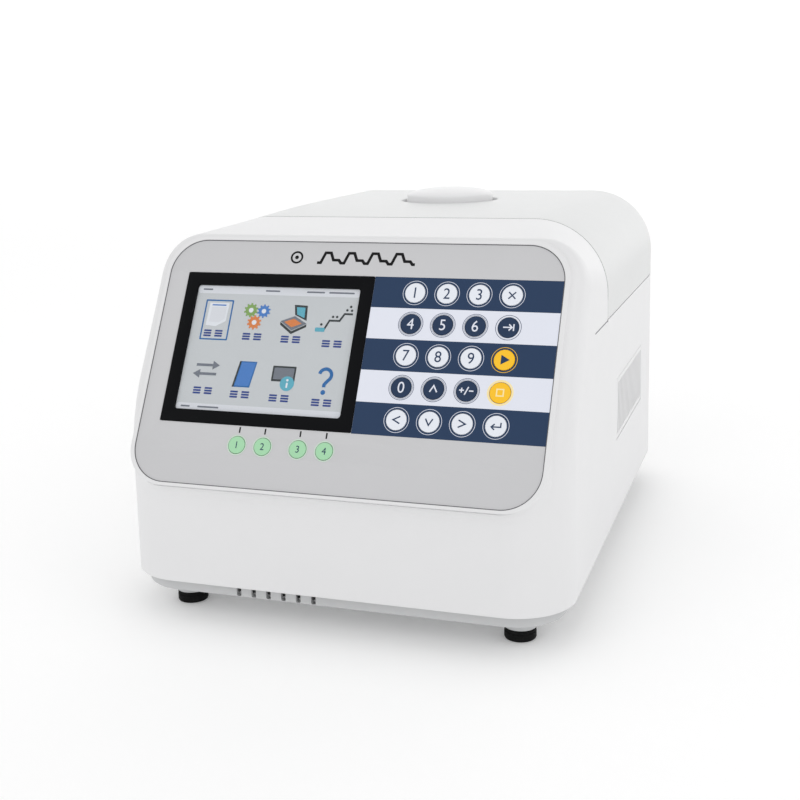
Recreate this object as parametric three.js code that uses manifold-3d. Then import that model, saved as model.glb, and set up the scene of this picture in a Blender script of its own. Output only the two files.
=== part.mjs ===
// Bench-top thermal cycler: white two-part casing, tilted control panel with a display and round keys,
// rear-hinged heated lid with a pressure knob, 96-well block, cooling stack, electronics and rear connections.
// Millimetres, +Z up, front towards -Y, origin under the middle of the machine on the bench.

import * as THREE from 'three';
import { mergeVertices } from 'three/addons/utils/BufferGeometryUtils.js';
import Module from 'manifold-3d';

// ---------------------------------------------------------------- driving dimensions

const WALL = 3;
const GAP = 0.3;

const CASING = {
  halfBase: 149.5, halfShoulder: 147.2, shoulderRadius: 50,
  chinY: -212.5, rearY: 212.5, frontCorner: 39, rearCorner: 45,
  bottomZ: 27, deckZ: 182, seamY: -58.8, seamTopZ: 249.9, crownRise: 0.0876,
};
const HOOD = { frontY: -135, frontRadius: 27, endY: 240 };
const FASCIA = {
  tilt: THREE.MathUtils.degToRad(30.5), y: -170.5, z: 176,
  rimHalf: 137.5, rimTop: 78.5, rimBottom: -94.5, rimRadius: 26,
  bodyDepth: 2, plateDepth: 14, blendWidth: 12, blendDepth: 24,
};
const OVERLAY = { halfWidth: 134, top: 75, bottom: -92, radius: 24, topDepth: 0.6, thickness: 1, pocket: 1.9 };
const DISPLAY = {
  x: -54, width: 115.2, height: 86.4, bezelWidth: 132, bezelHeight: 103.4, moduleWidth: 124, moduleHeight: 95,
};
const KEYS = { x: 40.36, y: 41.5, pitch: 20.82, capRadius: 6.5, flangeRadius: 7.6, proud: 0.5, flangeBottom: 4.4 };
const SOFT_KEYS = { y: -64.7, middle: -32.9, offsets: [-29.7, -12, 12, 29.7], capRadius: 5.6, flangeRadius: 6.6 };
const LID = { frontY: -58, bottomZ: 183.2, wall: 2.8, topZ: 252.4, crownY: 70.5, rearTopY: 167.5, linerZ: 184.6 };
const HINGE = {
  y: 215.7, z: 182.6, barrel: 2.76, bore: 1.5, pin: 1.2, halfLength: 100, knuckles: [-100, -61, -20, 20, 61, 100],
};
const KNOB = { y: 70.5, radius: 34, recessRadius: 37.5, floorZ: 249, topZ: 262 };
const SCREW = { radius: 5, bottomZ: 196.6, topZ: 256.6 };
const BLOCK = { y: 70.5, width: 114, depth: 82, bottomZ: 150, topZ: 172, columns: 12, rows: 8, pitch: 9 };
const BAY = { width: 126, depth: 94, radius: 8 };
const PAN = { halfWidth: 143.5, frontY: -206.5, rearY: 206.5, corner: 33, bottomZ: 18, rimZ: 40, wall: 2.5 };
const FEET = { x: 114.7, frontY: -177, rearY: 177, bossTop: 12.8, bossBottom: 10.8, bossZ: 8, padRadius: 10.2 };
const REAR = { halfWidth: 108, bottomZ: 45, topZ: 150, thickness: 1.5, frame: 4 };
const INLET = { x: 78, z: 98, halfWidth: 14, halfHeight: 25, socketZ: 84.5, rockerZ: 111.5 };
const FAN = { y: 182.4, z: 98, half: 46, depth: 25, bore: 43 };
const VENT = { y0: -15, y1: 115, z0: 86, z1: 132, slots: 17, slotWidth: 3.6, slotHeight: 38 };
const USB = { x: -78, z: 80 };

// ---------------------------------------------------------------- solids

const wasm = await Module();
wasm.setup();

function toSolid(geometry) {
  const bare = geometry.clone();
  bare.deleteAttribute('normal');
  bare.deleteAttribute('uv');
  const merged = mergeVertices(bare, 1e-4);
  const vertProperties = Float32Array.from(merged.attributes.position.array);
  const triVerts = Uint32Array.from(merged.index.array);
  return new wasm.Manifold(new wasm.Mesh({ numProp: 3, vertProperties, triVerts }));
}

function toGeometry(solid) {
  const mesh = solid.getMesh();
  const geometry = new THREE.BufferGeometry();
  geometry.setAttribute('position', new THREE.BufferAttribute(mesh.vertProperties, 3));
  geometry.setIndex(new THREE.BufferAttribute(mesh.triVerts, 1));
  geometry.computeVertexNormals();
  return geometry;
}

const join = (first, ...others) => others.reduce((sum, other) => sum.add(other), first);
const cut = (first, ...others) => others.reduce((rest, other) => rest.subtract(other), first);
const common = (first, ...others) => others.reduce((rest, other) => rest.intersect(other), first);

// Frames that an outline is drawn in and pushed out of.
const AXIS = { x: new THREE.Vector3(1, 0, 0), y: new THREE.Vector3(0, 1, 0), z: new THREE.Vector3(0, 0, 1) };
const plan = (z) => new THREE.Matrix4().makeTranslation(0, 0, z);
const sideways = (x) => new THREE.Matrix4().makeBasis(AXIS.y, AXIS.z, AXIS.x).setPosition(x, 0, 0);
const towardsFront = AXIS.y.clone().negate();
const frontward = (y) => new THREE.Matrix4().makeBasis(AXIS.x, AXIS.z, towardsFront).setPosition(0, y, 0);
const upSlope = new THREE.Vector3(0, Math.sin(FASCIA.tilt), Math.cos(FASCIA.tilt));
const outward = new THREE.Vector3(0, -Math.cos(FASCIA.tilt), Math.sin(FASCIA.tilt));
const fasciaFrame = new THREE.Matrix4().makeBasis(AXIS.x, upSlope, outward).setPosition(0, FASCIA.y, FASCIA.z);

function box(x0, x1, y0, y1, z0, z1) {
  const geometry = new THREE.BoxGeometry(x1 - x0, y1 - y0, z1 - z0);
  geometry.translate((x0 + x1) / 2, (y0 + y1) / 2, (z0 + z1) / 2);
  return toSolid(geometry);
}

function prism(shape, length, frame, curveSegments = 6) {
  const geometry = new THREE.ExtrudeGeometry(shape, { depth: length, bevelEnabled: false, curveSegments });
  return toSolid(geometry.applyMatrix4(frame));
}

function rod(radius, y0, y1, x, z, segments = 16) {
  const geometry = new THREE.CylinderGeometry(radius, radius, y1 - y0, segments);
  return toSolid(geometry.translate(x, (y0 + y1) / 2, z));
}

function post(radiusTop, radiusBottom, z0, z1, x, y, segments = 16) {
  const geometry = new THREE.CylinderGeometry(radiusTop, radiusBottom, z1 - z0, segments);
  return toSolid(geometry.rotateX(Math.PI / 2).translate(x, y, (z0 + z1) / 2));
}

function roundedOutline(x0, x1, y0, y1, lowRadius, highRadius = lowRadius) {
  const shape = new THREE.Shape();
  shape.moveTo(x0 + lowRadius, y0);
  shape.absarc(x1 - lowRadius, y0 + lowRadius, lowRadius, -Math.PI / 2, 0);
  shape.absarc(x1 - highRadius, y1 - highRadius, highRadius, 0, Math.PI / 2);
  shape.absarc(x0 + highRadius, y1 - highRadius, highRadius, Math.PI / 2, Math.PI);
  shape.absarc(x0 + lowRadius, y0 + lowRadius, lowRadius, Math.PI, Math.PI * 1.5);
  return shape;
}

function outlineOf(points) {
  return new THREE.Shape(points.map(([x, y]) => new THREE.Vector2(x, y)));
}

// A plate parallel to the control panel, from one depth below its face to another, in the panel's own frame.
function panelPlate(shape, topDepth, bottomDepth, segments = 6) {
  const geometry = new THREE.ExtrudeGeometry(shape, {
    depth: bottomDepth - topDepth, bevelEnabled: false, curveSegments: segments,
  });
  return toSolid(geometry.translate(0, 0, -bottomDepth));
}

const inCasing = (solid) => toSolid(toGeometry(solid).applyMatrix4(fasciaFrame));

// A solid through equal rings of points, each ring upright across the machine, from the front to the back.
function loft(rings) {
  const count = rings[0].length;
  const last = (rings.length - 1) * count;
  const index = [];
  for (let start = 0; start < last; start += count) {
    for (let here = 0; here < count; here += 1) {
      const next = (here + 1) % count;
      index.push(start + here, start + count + here, start + next);
      index.push(start + next, start + count + here, start + count + next);
    }
  }
  for (let here = 1; here + 1 < count; here += 1) {
    index.push(0, here, here + 1, last, last + here + 1, last + here);
  }
  const geometry = new THREE.BufferGeometry();
  geometry.setAttribute('position', new THREE.Float32BufferAttribute(rings.flat(2), 3));
  geometry.setIndex(index);
  return toSolid(geometry);
}

// ---------------------------------------------------------------- casing surfaces

const crownAt = (y) => CASING.seamTopZ + CASING.crownRise * (Math.min(y, CASING.seamY) - CASING.seamY);
const lidTopAt = (y) => {
  const share = Math.max(LID.crownY - y, 0) / (LID.crownY - LID.frontY);
  return LID.topZ - (LID.topZ - CASING.seamTopZ) * share ** 2;
};

function planOutline(inset) {
  const half = CASING.halfBase - inset;
  const front = CASING.frontCorner - inset;
  const rear = CASING.rearCorner - inset;
  return roundedOutline(-half, half, CASING.chinY + inset, CASING.rearY - inset, front, rear);
}

// Across the machine at one station: drafted side walls that turn into round shoulders.
function sectionRing(y, shoulder, topZ, inset, bottomZ) {
  const radius = shoulder - inset;
  const half = CASING.halfShoulder - inset;
  const centreZ = topZ - shoulder;
  const shape = new THREE.Shape();
  shape.moveTo(inset - CASING.halfBase, bottomZ);
  shape.lineTo(CASING.halfBase - inset, bottomZ);
  shape.absarc(half - radius, centreZ, radius, 0, Math.PI / 2);
  shape.absarc(radius - half, centreZ, radius, Math.PI / 2, Math.PI);
  return shape.getPoints(7).map((point) => [point.x, y, point.y]);
}

// Along the machine: upright chin, tilted front, open top, then down to the deck behind the seam.
function housingProfile(inset, bottomZ) {
  const depth = FASCIA.bodyDepth + inset;
  const y0 = FASCIA.y + depth * Math.cos(FASCIA.tilt);
  const z0 = FASCIA.z - depth * Math.sin(FASCIA.tilt);
  const chinY = CASING.chinY + inset;
  const chinTop = z0 + (chinY - y0) / Math.tan(FASCIA.tilt);
  const seamY = CASING.seamY - inset;
  const topZ = CASING.seamTopZ + 10;
  const topY = y0 + (topZ - z0) * Math.tan(FASCIA.tilt);
  return outlineOf([
    [chinY, bottomZ],
    [CASING.rearY - inset, bottomZ],
    [CASING.rearY - inset, CASING.deckZ - inset],
    [seamY, CASING.deckZ - inset],
    [seamY, topZ],
    [topY, topZ],
    [chinY, chinTop],
  ]);
}

// The wide soft edge between the tilted front and the side walls.
function frontBlend(inset) {
  const length = 600;
  const half = FASCIA.rimHalf - inset;
  const shape = outlineOf([[-half, -260], [half, -260], [half, 260], [-half, 260]]);
  const geometry = new THREE.ExtrudeGeometry(shape, {
    depth: length, bevelEnabled: true, bevelSegments: 4,
    bevelSize: FASCIA.blendWidth, bevelThickness: FASCIA.blendDepth,
  });
  geometry.translate(0, 0, -FASCIA.bodyDepth - inset - length - FASCIA.blendDepth);
  return toSolid(geometry.applyMatrix4(fasciaFrame));
}

function housingVolume(inset, bottomZ) {
  const span = 2 * CASING.halfBase + 20;
  const stations = [
    [-HOOD.endY, HOOD.frontRadius], [HOOD.frontY, HOOD.frontRadius],
    [CASING.seamY, CASING.shoulderRadius], [HOOD.endY, CASING.shoulderRadius],
  ];
  return common(
    prism(planOutline(inset), 260, plan(bottomZ)),
    prism(housingProfile(inset, bottomZ), span, sideways(-span / 2)),
    loft(stations.map(([y, radius]) => sectionRing(y, radius, crownAt(y), inset, bottomZ))),
    frontBlend(inset),
  );
}

function lidProfile(inset, bottomZ) {
  const top = LID.topZ - inset;
  const rearY = CASING.rearY - inset;
  const shape = new THREE.Shape();
  shape.moveTo(LID.frontY + inset, bottomZ);
  shape.lineTo(rearY, bottomZ);
  shape.absarc(LID.rearTopY, top - (rearY - LID.rearTopY), rearY - LID.rearTopY, 0, Math.PI / 2);
  shape.lineTo(LID.frontY + inset, top);
  return shape;
}

function lidVolume(inset, bottomZ) {
  const span = 2 * CASING.halfBase + 20;
  const stations = [LID.frontY, -25, 20, LID.crownY, HOOD.endY];
  return common(
    prism(planOutline(inset), 260, plan(bottomZ)),
    prism(lidProfile(inset, bottomZ), span, sideways(-span / 2), 7),
    loft(stations.map((y) => sectionRing(y, CASING.shoulderRadius, lidTopAt(y), inset, CASING.bottomZ))),
  );
}

// ---------------------------------------------------------------- places that repeat

const keyPlaces = [];
for (let row = 0; row < 5; row += 1) {
  for (let column = 0; column < 4; column += 1) {
    const x = KEYS.x + KEYS.pitch * column;
    keyPlaces.push({ name: `key_row${row + 1}_${column + 1}`, x, y: KEYS.y - KEYS.pitch * row, size: KEYS });
  }
}
SOFT_KEYS.offsets.forEach((offset, index) => {
  keyPlaces.push({ name: `soft_key_${index + 1}`, x: SOFT_KEYS.middle + offset, y: SOFT_KEYS.y, size: SOFT_KEYS });
});

const footPlaces = [
  ['foot_front_left', -FEET.x, FEET.frontY], ['foot_front_right', FEET.x, FEET.frontY],
  ['foot_rear_left', -FEET.x, FEET.rearY], ['foot_rear_right', FEET.x, FEET.rearY],
];

const displayOutline = (width, height, radius) => roundedOutline(
  DISPLAY.x - width / 2, DISPLAY.x + width / 2, -height / 2, height / 2, radius,
);

// ---------------------------------------------------------------- casing

function mainHousing() {
  const rim = roundedOutline(-FASCIA.rimHalf, FASCIA.rimHalf, FASCIA.rimBottom, FASCIA.rimTop, FASCIA.rimRadius);
  const pocket = roundedOutline(
    -OVERLAY.halfWidth - GAP, OVERLAY.halfWidth + GAP, OVERLAY.bottom - GAP, OVERLAY.top + GAP, OVERLAY.radius + GAP,
  );
  const through = 30;
  const inner = OVERLAY.pocket + WALL;
  const shell = cut(join(housingVolume(0, CASING.bottomZ), inCasing(panelPlate(rim, 0, FASCIA.plateDepth))),
    housingVolume(WALL, CASING.bottomZ - 1));
  const windows = [
    panelPlate(pocket, -5, OVERLAY.pocket),
    panelPlate(displayOutline(DISPLAY.moduleWidth + 2, DISPLAY.moduleHeight + 2, 2), 0, through, 2),
    panelPlate(roundedOutline(30, 113.2, -52.2, 51.9, 4), 0, through, 2),
    panelPlate(roundedOutline(-72, 6, -73.5, -56, 4), 0, through, 2),
    panelPlate(roundedOutline(-125, 125, -84, 68, 8), inner, through, 2),
  ];
  const bay = roundedOutline(
    -BAY.width / 2, BAY.width / 2, BLOCK.y - BAY.depth / 2, BLOCK.y + BAY.depth / 2, BAY.radius,
  );
  const vents = [-160, 130].map((x) => box(x, x + 30, VENT.y0, VENT.y1, VENT.z0, VENT.z1));
  const rearDoor = box(-REAR.halfWidth + REAR.frame, REAR.halfWidth - REAR.frame, 200, 230,
    REAR.bottomZ + REAR.frame, REAR.topZ - REAR.frame);
  return cut(shell, ...windows.map(inCasing), prism(bay, 20, plan(CASING.deckZ - 10), 3), ...vents, rearDoor);
}

function basePan() {
  const outline = (inset) => roundedOutline(
    -PAN.halfWidth + inset, PAN.halfWidth - inset, PAN.frontY + inset, PAN.rearY - inset, PAN.corner - inset,
  );
  const tray = cut(
    prism(outline(0), PAN.rimZ - PAN.bottomZ, plan(PAN.bottomZ), 4),
    prism(outline(PAN.wall), PAN.rimZ, plan(PAN.bottomZ + PAN.wall), 4),
  );
  const bossRoot = PAN.bottomZ + 1;
  const bosses = footPlaces.map(([, x, y]) => post(FEET.bossTop, FEET.bossBottom, FEET.bossZ, bossRoot, x, y));
  const pillars = [[-65.5, 21], [65.5, 21], [-65.5, 120], [65.5, 120]];
  const boardPosts = [[-104, -184], [104, -184], [-104, -82], [104, -82]];
  const supports = [
    ...pillars.map(([x, y]) => post(3.5, 3.5, PAN.bottomZ + 1, 137.2, x, y, 8)),
    ...boardPosts.map(([x, y]) => post(3.5, 3.5, PAN.bottomZ + 1, 57.7, x, y, 8)),
  ];
  const slots = [0, 1, 2, 3, 4, 5].map((index) => {
    const x = -64.9 + 10.4 * index;
    return box(x - 1.3, x + 1.3, PAN.frontY - 1, PAN.frontY + 4, 20.6, 28.5);
  });
  return cut(join(tray, ...bosses, ...supports), ...slots);
}

function footPad() {
  const profile = [[0, 0], [FEET.padRadius - 1, 0], [FEET.padRadius, 1.2], [FEET.padRadius, FEET.bossZ - GAP],
    [0, FEET.bossZ - GAP]];
  return new THREE.LatheGeometry(profile.map(([r, z]) => new THREE.Vector2(r, z)), 16).rotateX(Math.PI / 2);
}

function ventGrille(side) {
  const outer = CASING.halfBase - 2;
  const x0 = outer - 1.8;
  const plate = box(x0, outer, VENT.y0 + GAP, VENT.y1 - GAP, VENT.z0 + GAP, VENT.z1 - GAP);
  const pitch = (VENT.y1 - VENT.y0 - 6) / VENT.slots;
  const middleZ = (VENT.z0 + VENT.z1) / 2;
  const slots = Array.from({ length: VENT.slots }, (_, index) => {
    const y = VENT.y0 + 3 + pitch * (index + 0.5);
    return box(x0 - 2, outer + 2, y - VENT.slotWidth / 2, y + VENT.slotWidth / 2,
      middleZ - VENT.slotHeight / 2, middleZ + VENT.slotHeight / 2);
  });
  const grille = toGeometry(cut(plate, ...slots));
  return side > 0 ? grille : grille.rotateZ(Math.PI).translate(0, VENT.y0 + VENT.y1, 0);
}

// ---------------------------------------------------------------- control panel

function overlayPanel() {
  const sheet = roundedOutline(-OVERLAY.halfWidth, OVERLAY.halfWidth, OVERLAY.bottom, OVERLAY.top, OVERLAY.radius);
  const window = displayOutline(DISPLAY.bezelWidth + 0.6, DISPLAY.bezelHeight + 0.6, 0.8);
  sheet.holes.push(window);
  keyPlaces.forEach(({ x, y, size }) => {
    const hole = new THREE.Path();
    hole.absarc(x, y, size.capRadius + GAP, 0, Math.PI * 2);
    sheet.holes.push(hole);
  });
  return panelPlate(sheet, OVERLAY.topDepth, OVERLAY.topDepth + OVERLAY.thickness, 6);
}

function displayBezel() {
  const frame = displayOutline(DISPLAY.bezelWidth, DISPLAY.bezelHeight, 0.6);
  frame.holes.push(displayOutline(DISPLAY.width, DISPLAY.height, 2));
  return panelPlate(frame, 0.3, 1.6, 2);
}

function displayLens() {
  return panelPlate(displayOutline(DISPLAY.width - 2 * GAP, DISPLAY.height - 2 * GAP, 1.7), 0.6, 1.6, 2);
}

function lcdModule() {
  return panelPlate(displayOutline(DISPLAY.moduleWidth, DISPLAY.moduleHeight, 1), 2, 10, 1);
}

function keyCap(size) {
  const top = -OVERLAY.topDepth + KEYS.proud;
  const shoulder = -OVERLAY.pocket;
  const profile = [
    [0, -KEYS.flangeBottom], [size.flangeRadius, -KEYS.flangeBottom], [size.flangeRadius, shoulder],
    [size.capRadius, shoulder], [size.capRadius, top], [0, top],
  ];
  return new THREE.LatheGeometry(profile.map(([r, z]) => new THREE.Vector2(r, z)), 12).rotateX(Math.PI / 2);
}

// The switch mat and its board reach behind both key fields and leave the display module clear.
function keypadSheet(topDepth, bottomDepth) {
  const outline = outlineOf([[-76, -77], [117, -77], [117, 56], [26, 56], [26, -53], [-76, -53]]);
  return panelPlate(outline, topDepth, bottomDepth);
}

// ---------------------------------------------------------------- lid and its press

function lidShell() {
  const cavity = lidVolume(LID.wall, LID.bottomZ - 1);
  const seat = post(KNOB.recessRadius + 4, KNOB.recessRadius + 4, KNOB.floorZ - 3, LID.topZ - 1, 0, KNOB.y, 24);
  return cut(
    join(cut(lidVolume(0, LID.bottomZ), cavity), seat),
    post(KNOB.recessRadius, KNOB.recessRadius, KNOB.floorZ, LID.topZ + 5, 0, KNOB.y, 24),
    post(7, 7, 200, 300, 0, KNOB.y),
  );
}

function lidLiner() {
  const inset = LID.wall + GAP;
  const half = CASING.halfShoulder - inset;
  const outline = roundedOutline(-half, half, LID.frontY + inset, CASING.rearY - inset, 1, CASING.rearCorner);
  const plate = prism(outline, 2, plan(LID.linerZ), 4);
  return cut(plate, box(-66, 66, KNOB.y - 50, KNOB.y + 50, LID.linerZ - 5, LID.linerZ + 5));
}

function lidBridge() {
  const foot = LID.linerZ + 2 + GAP;
  const outline = outlineOf([[-112, foot], [-84, foot], [-84, foot + 3], [-96, foot + 3], [-96, 222], [96, 222],
    [96, foot + 3], [84, foot + 3], [84, foot], [112, foot], [112, foot + 3], [100, foot + 3], [100, 230],
    [-100, 230], [-100, foot + 3], [-112, foot + 3]]);
  const bar = prism(outline, 24, frontward(KNOB.y + 12));
  return cut(bar, post(SCREW.radius + GAP, SCREW.radius + GAP, 200, 240, 0, KNOB.y));
}

function pressureKnob() {
  const bore = SCREW.radius + GAP + 0.1;
  const boreTop = SCREW.topZ + GAP;
  const bottom = KNOB.floorZ + 0.4;
  const profile = [[0, boreTop], [bore, boreTop], [bore, bottom], [KNOB.radius, bottom], [KNOB.radius, 256.6],
    [31.5, 258.6], [22, 260.7], [11, 261.7], [0, KNOB.topZ]];
  const points = profile.map(([r, z]) => new THREE.Vector2(r, z)).reverse();
  return new THREE.LatheGeometry(points, 28).rotateX(Math.PI / 2).rotateX(Math.PI).scale(1, 1, -1);
}

function hingeLeaf(knuckleIndexes, plateZ0, plateZ1, webZ) {
  const plateY = CASING.rearY + GAP;
  const plate = box(-HINGE.halfLength, HINGE.halfLength, plateY, plateY + 1.2, plateZ0, plateZ1);
  const knuckles = knuckleIndexes.map((index) => {
    const x0 = HINGE.knuckles[index] + 0.25;
    const x1 = HINGE.knuckles[index + 1] - 0.25;
    const barrel = new THREE.CylinderGeometry(HINGE.barrel, HINGE.barrel, x1 - x0, 14);
    barrel.rotateZ(Math.PI / 2).translate((x0 + x1) / 2, HINGE.y, HINGE.z);
    const web = box(x0, x1, plateY, plateY + 1.2, Math.min(webZ, HINGE.z), Math.max(webZ, HINGE.z));
    return join(toSolid(barrel), web);
  });
  const bore = new THREE.CylinderGeometry(HINGE.bore, HINGE.bore, 2 * HINGE.halfLength + 10, 10);
  bore.rotateZ(Math.PI / 2).translate(0, HINGE.y, HINGE.z);
  return cut(join(plate, ...knuckles), toSolid(bore));
}

function hingePin() {
  const pin = new THREE.CylinderGeometry(HINGE.pin, HINGE.pin, 2 * HINGE.halfLength, 10);
  return pin.rotateZ(Math.PI / 2).translate(0, HINGE.y, HINGE.z);
}

// ---------------------------------------------------------------- thermal stack

function centredBox(width, depth, z0, z1) {
  return box(-width / 2, width / 2, BLOCK.y - depth / 2, BLOCK.y + depth / 2, z0, z1);
}

function sampleBlock() {
  const wells = [];
  for (let column = 0; column < BLOCK.columns; column += 1) {
    for (let row = 0; row < BLOCK.rows; row += 1) {
      const x = (column - (BLOCK.columns - 1) / 2) * BLOCK.pitch;
      const y = BLOCK.y + (row - (BLOCK.rows - 1) / 2) * BLOCK.pitch;
      wells.push(post(3.1, 1.6, BLOCK.topZ - 15, BLOCK.topZ + 1, x, y, 6));
    }
  }
  return cut(centredBox(BLOCK.width, BLOCK.depth, BLOCK.bottomZ, BLOCK.topZ), ...wells);
}

function blockGasket() {
  return cut(centredBox(136, 104, 168, 178.7), centredBox(BLOCK.width + 1, BLOCK.depth + 1, 160, 190));
}

// Six cooling elements share one thin carrier sheet.
function peltierArray() {
  const elements = [];
  for (const x of [-38, 0, 38]) {
    for (const y of [-20, 20]) {
      elements.push(box(x - 17, x + 17, BLOCK.y + y - 18, BLOCK.y + y + 18, 145.8, 149.7));
    }
  }
  return join(centredBox(120, 86, 147.4, 148.2), ...elements);
}

function heatSink() {
  const fins = 11;
  const blades = Array.from({ length: fins }, (_, index) => {
    const x = (index - (fins - 1) / 2) * 11.4;
    return box(x - 1, x + 1, BLOCK.y - 55, BLOCK.y + 55, 92, 138);
  });
  return join(centredBox(140, 110, 137.5, 145.5), ...blades);
}

function fanFrame() {
  const end = FAN.y + FAN.depth;
  const ring = cut(
    box(-FAN.half, FAN.half, FAN.y, end, FAN.z - FAN.half, FAN.z + FAN.half),
    rod(FAN.bore, FAN.y - 1, end + 1, 0, FAN.z, 24),
  );
  const arms = [
    box(-44, 44, end - 3, end, FAN.z - 2, FAN.z + 2),
    box(-2, 2, end - 3, end, FAN.z - 44, FAN.z + 44),
  ];
  return join(ring, ...arms, rod(17, end - 4, end, 0, FAN.z));
}

function fanRotor() {
  const blades = Array.from({ length: 7 }, (_, index) => {
    const blade = new THREE.BoxGeometry(28, 1.8, 17);
    blade.rotateX(THREE.MathUtils.degToRad(52)).translate(27, FAN.y + 11, 0);
    return toSolid(blade.rotateY((index * 2 * Math.PI) / 7).translate(0, 0, FAN.z));
  });
  return join(rod(16, FAN.y + 2, FAN.y + 20, 0, FAN.z), ...blades);
}

// ---------------------------------------------------------------- electronics and connections

function mainBoard() {
  const parts = [[-90, -170, 30, 24, 16], [-40, -150, 44, 44, 5], [20, -160, 26, 26, 3], [60, -120, 52, 20, 14],
    [-80, -100, 36, 12, 11], [0, -105, 12, 12, 14]];
  const blocks = parts.map(([x, y, width, depth, height]) => box(x, x + width, y, y + depth, 59, 59.6 + height));
  return join(box(-110, 112, -190, -76, 58, 59.6), ...blocks);
}

function powerSupply() {
  return join(box(-139.5, -80, -50, 135, 20.8, 92), box(-130, -90, -58, -49, 30, 52));
}

function rearPanel() {
  const y0 = CASING.rearY - WALL - GAP - REAR.thickness;
  const plate = box(-REAR.halfWidth, REAR.halfWidth, y0, y0 + REAR.thickness, REAR.bottomZ, REAR.topZ);
  const grille = Array.from({ length: 9 }, (_, index) => {
    const x = (index - 4) * 9;
    const half = Math.sqrt(40 * 40 - x * x);
    return box(x - 2.5, x + 2.5, y0 - 2, y0 + 4, FAN.z - half, FAN.z + half);
  });
  return cut(
    plate, ...grille,
    box(INLET.x - INLET.halfWidth - GAP, INLET.x + INLET.halfWidth + GAP, y0 - 2, y0 + 4,
      INLET.z - INLET.halfHeight - GAP, INLET.z + INLET.halfHeight + GAP),
    box(USB.x - 7.6, USB.x + 7.6, y0 - 2, y0 + 4, USB.z - 4.4, USB.z + 4.4),
  );
}

function powerInlet() {
  const y0 = CASING.rearY - WALL;
  const flange = box(INLET.x - 18, INLET.x + 18, y0, y0 + 2, INLET.z - 31, INLET.z + 31);
  const body = box(INLET.x - INLET.halfWidth, INLET.x + INLET.halfWidth, 178, y0 + 0.5,
    INLET.z - INLET.halfHeight, INLET.z + INLET.halfHeight);
  return cut(
    join(flange, body),
    box(INLET.x - 12, INLET.x + 12, 195, 215, INLET.socketZ - 8.5, INLET.socketZ + 8.5),
    box(INLET.x - 10.5, INLET.x + 10.5, 199, 215, INLET.rockerZ - 7.5, INLET.rockerZ + 7.5),
  );
}

function powerRocker() {
  const outline = outlineOf([[-3, -5.2], [2.4, -6.2], [3.6, 0], [2.4, 6.2], [-3, 5.2]]);
  const geometry = new THREE.ExtrudeGeometry(outline, { depth: 20.2, bevelEnabled: false });
  geometry.translate(0, 0, -10.1).applyMatrix4(sideways(0));
  return geometry.rotateX(THREE.MathUtils.degToRad(10));
}

function usbPort() {
  return cut(
    box(USB.x - 7.2, USB.x + 7.2, 195, 210.4, USB.z - 4, USB.z + 4),
    box(USB.x - 6.2, USB.x + 6.2, 199, 212, USB.z - 2.5, USB.z + 2.5),
  );
}

// ---------------------------------------------------------------- assembly

const FINISH = {
  white: [0xe9eaea, 0.45, 0], grey: [0xb9bbbc, 0.6, 0], rubber: [0x151515, 0.9, 0], overlay: [0xcbcbcc, 0.5, 0],
  bezel: [0x101012, 0.3, 0], glass: [0xb9c8d4, 0.1, 0], key: [0xf0f1f4, 0.5, 0], navyKey: [0x34465f, 0.5, 0],
  yellowKey: [0xfdbe00, 0.5, 0], greenKey: [0xa5d9ae, 0.5, 0], metal: [0xc4c7ca, 0.35, 1], board: [0x1f5a38, 0.6, 0],
  black: [0x1b1c1e, 0.5, 0], ceramic: [0xe6e3dc, 0.7, 0],
};

function part(name, shape, [color, roughness, metalness], position = [0, 0, 0]) {
  const geometry = shape.isBufferGeometry ? shape : toGeometry(shape);
  const mesh = new THREE.Mesh(geometry, new THREE.MeshStandardMaterial({ color, roughness, metalness }));
  mesh.name = name;
  mesh.position.set(...position);
  return mesh;
}

function keyFinish(name) {
  if (name.startsWith('soft')) return FINISH.greenKey;
  if (name === 'key_row3_4' || name === 'key_row4_4') return FINISH.yellowKey;
  return /row[24]/.test(name) ? FINISH.navyKey : FINISH.key;
}

const machine = new THREE.Group();

machine.add(
  part('main_housing', mainHousing(), FINISH.white),
  part('base_pan', basePan(), FINISH.grey),
  part('side_grille_right', ventGrille(1), FINISH.white),
  part('side_grille_left', ventGrille(-1), FINISH.white),
  part('sample_block', sampleBlock(), FINISH.metal),
  part('block_gasket', blockGasket(), FINISH.rubber),
  part('peltier_array', peltierArray(), FINISH.ceramic),
  part('heat_sink', heatSink(), FINISH.metal),
  part('fan_frame', fanFrame(), FINISH.black),
  part('fan_rotor', fanRotor(), FINISH.black),
  part('main_board', mainBoard(), FINISH.board),
  part('power_supply', powerSupply(), FINISH.metal),
  part('rear_panel', rearPanel(), FINISH.metal),
  part('power_inlet', powerInlet(), FINISH.black),
  part('power_rocker', powerRocker(), FINISH.black, [INLET.x, 207.3, INLET.rockerZ]),
  part('usb_port', usbPort(), FINISH.metal),
  part('hinge_base_leaf', hingeLeaf([0, 2, 4], 160, 179.3, 179), FINISH.metal),
  part('hinge_lid_leaf', hingeLeaf([1, 3], 186, 204, 186.3), FINISH.metal),
  part('hinge_pin', hingePin(), FINISH.metal),
  part('lid_shell', lidShell(), FINISH.white),
  part('lid_liner', lidLiner(), FINISH.white),
  part('lid_bridge', lidBridge(), FINISH.metal),
  part('pressure_knob', pressureKnob(), FINISH.white, [0, KNOB.y, 0]),
  part('lead_screw', post(SCREW.radius, SCREW.radius, SCREW.bottomZ, SCREW.topZ, 0, KNOB.y), FINISH.metal),
  part('heater_carrier', centredBox(122, 90, 190.5, 196.3), FINISH.black),
  part('heated_plate', centredBox(106, 72, 184, 190.2), FINISH.metal),
);

footPlaces.forEach(([name, x, y]) => machine.add(part(name, footPad(), FINISH.rubber, [x, y, 0])));

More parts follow.
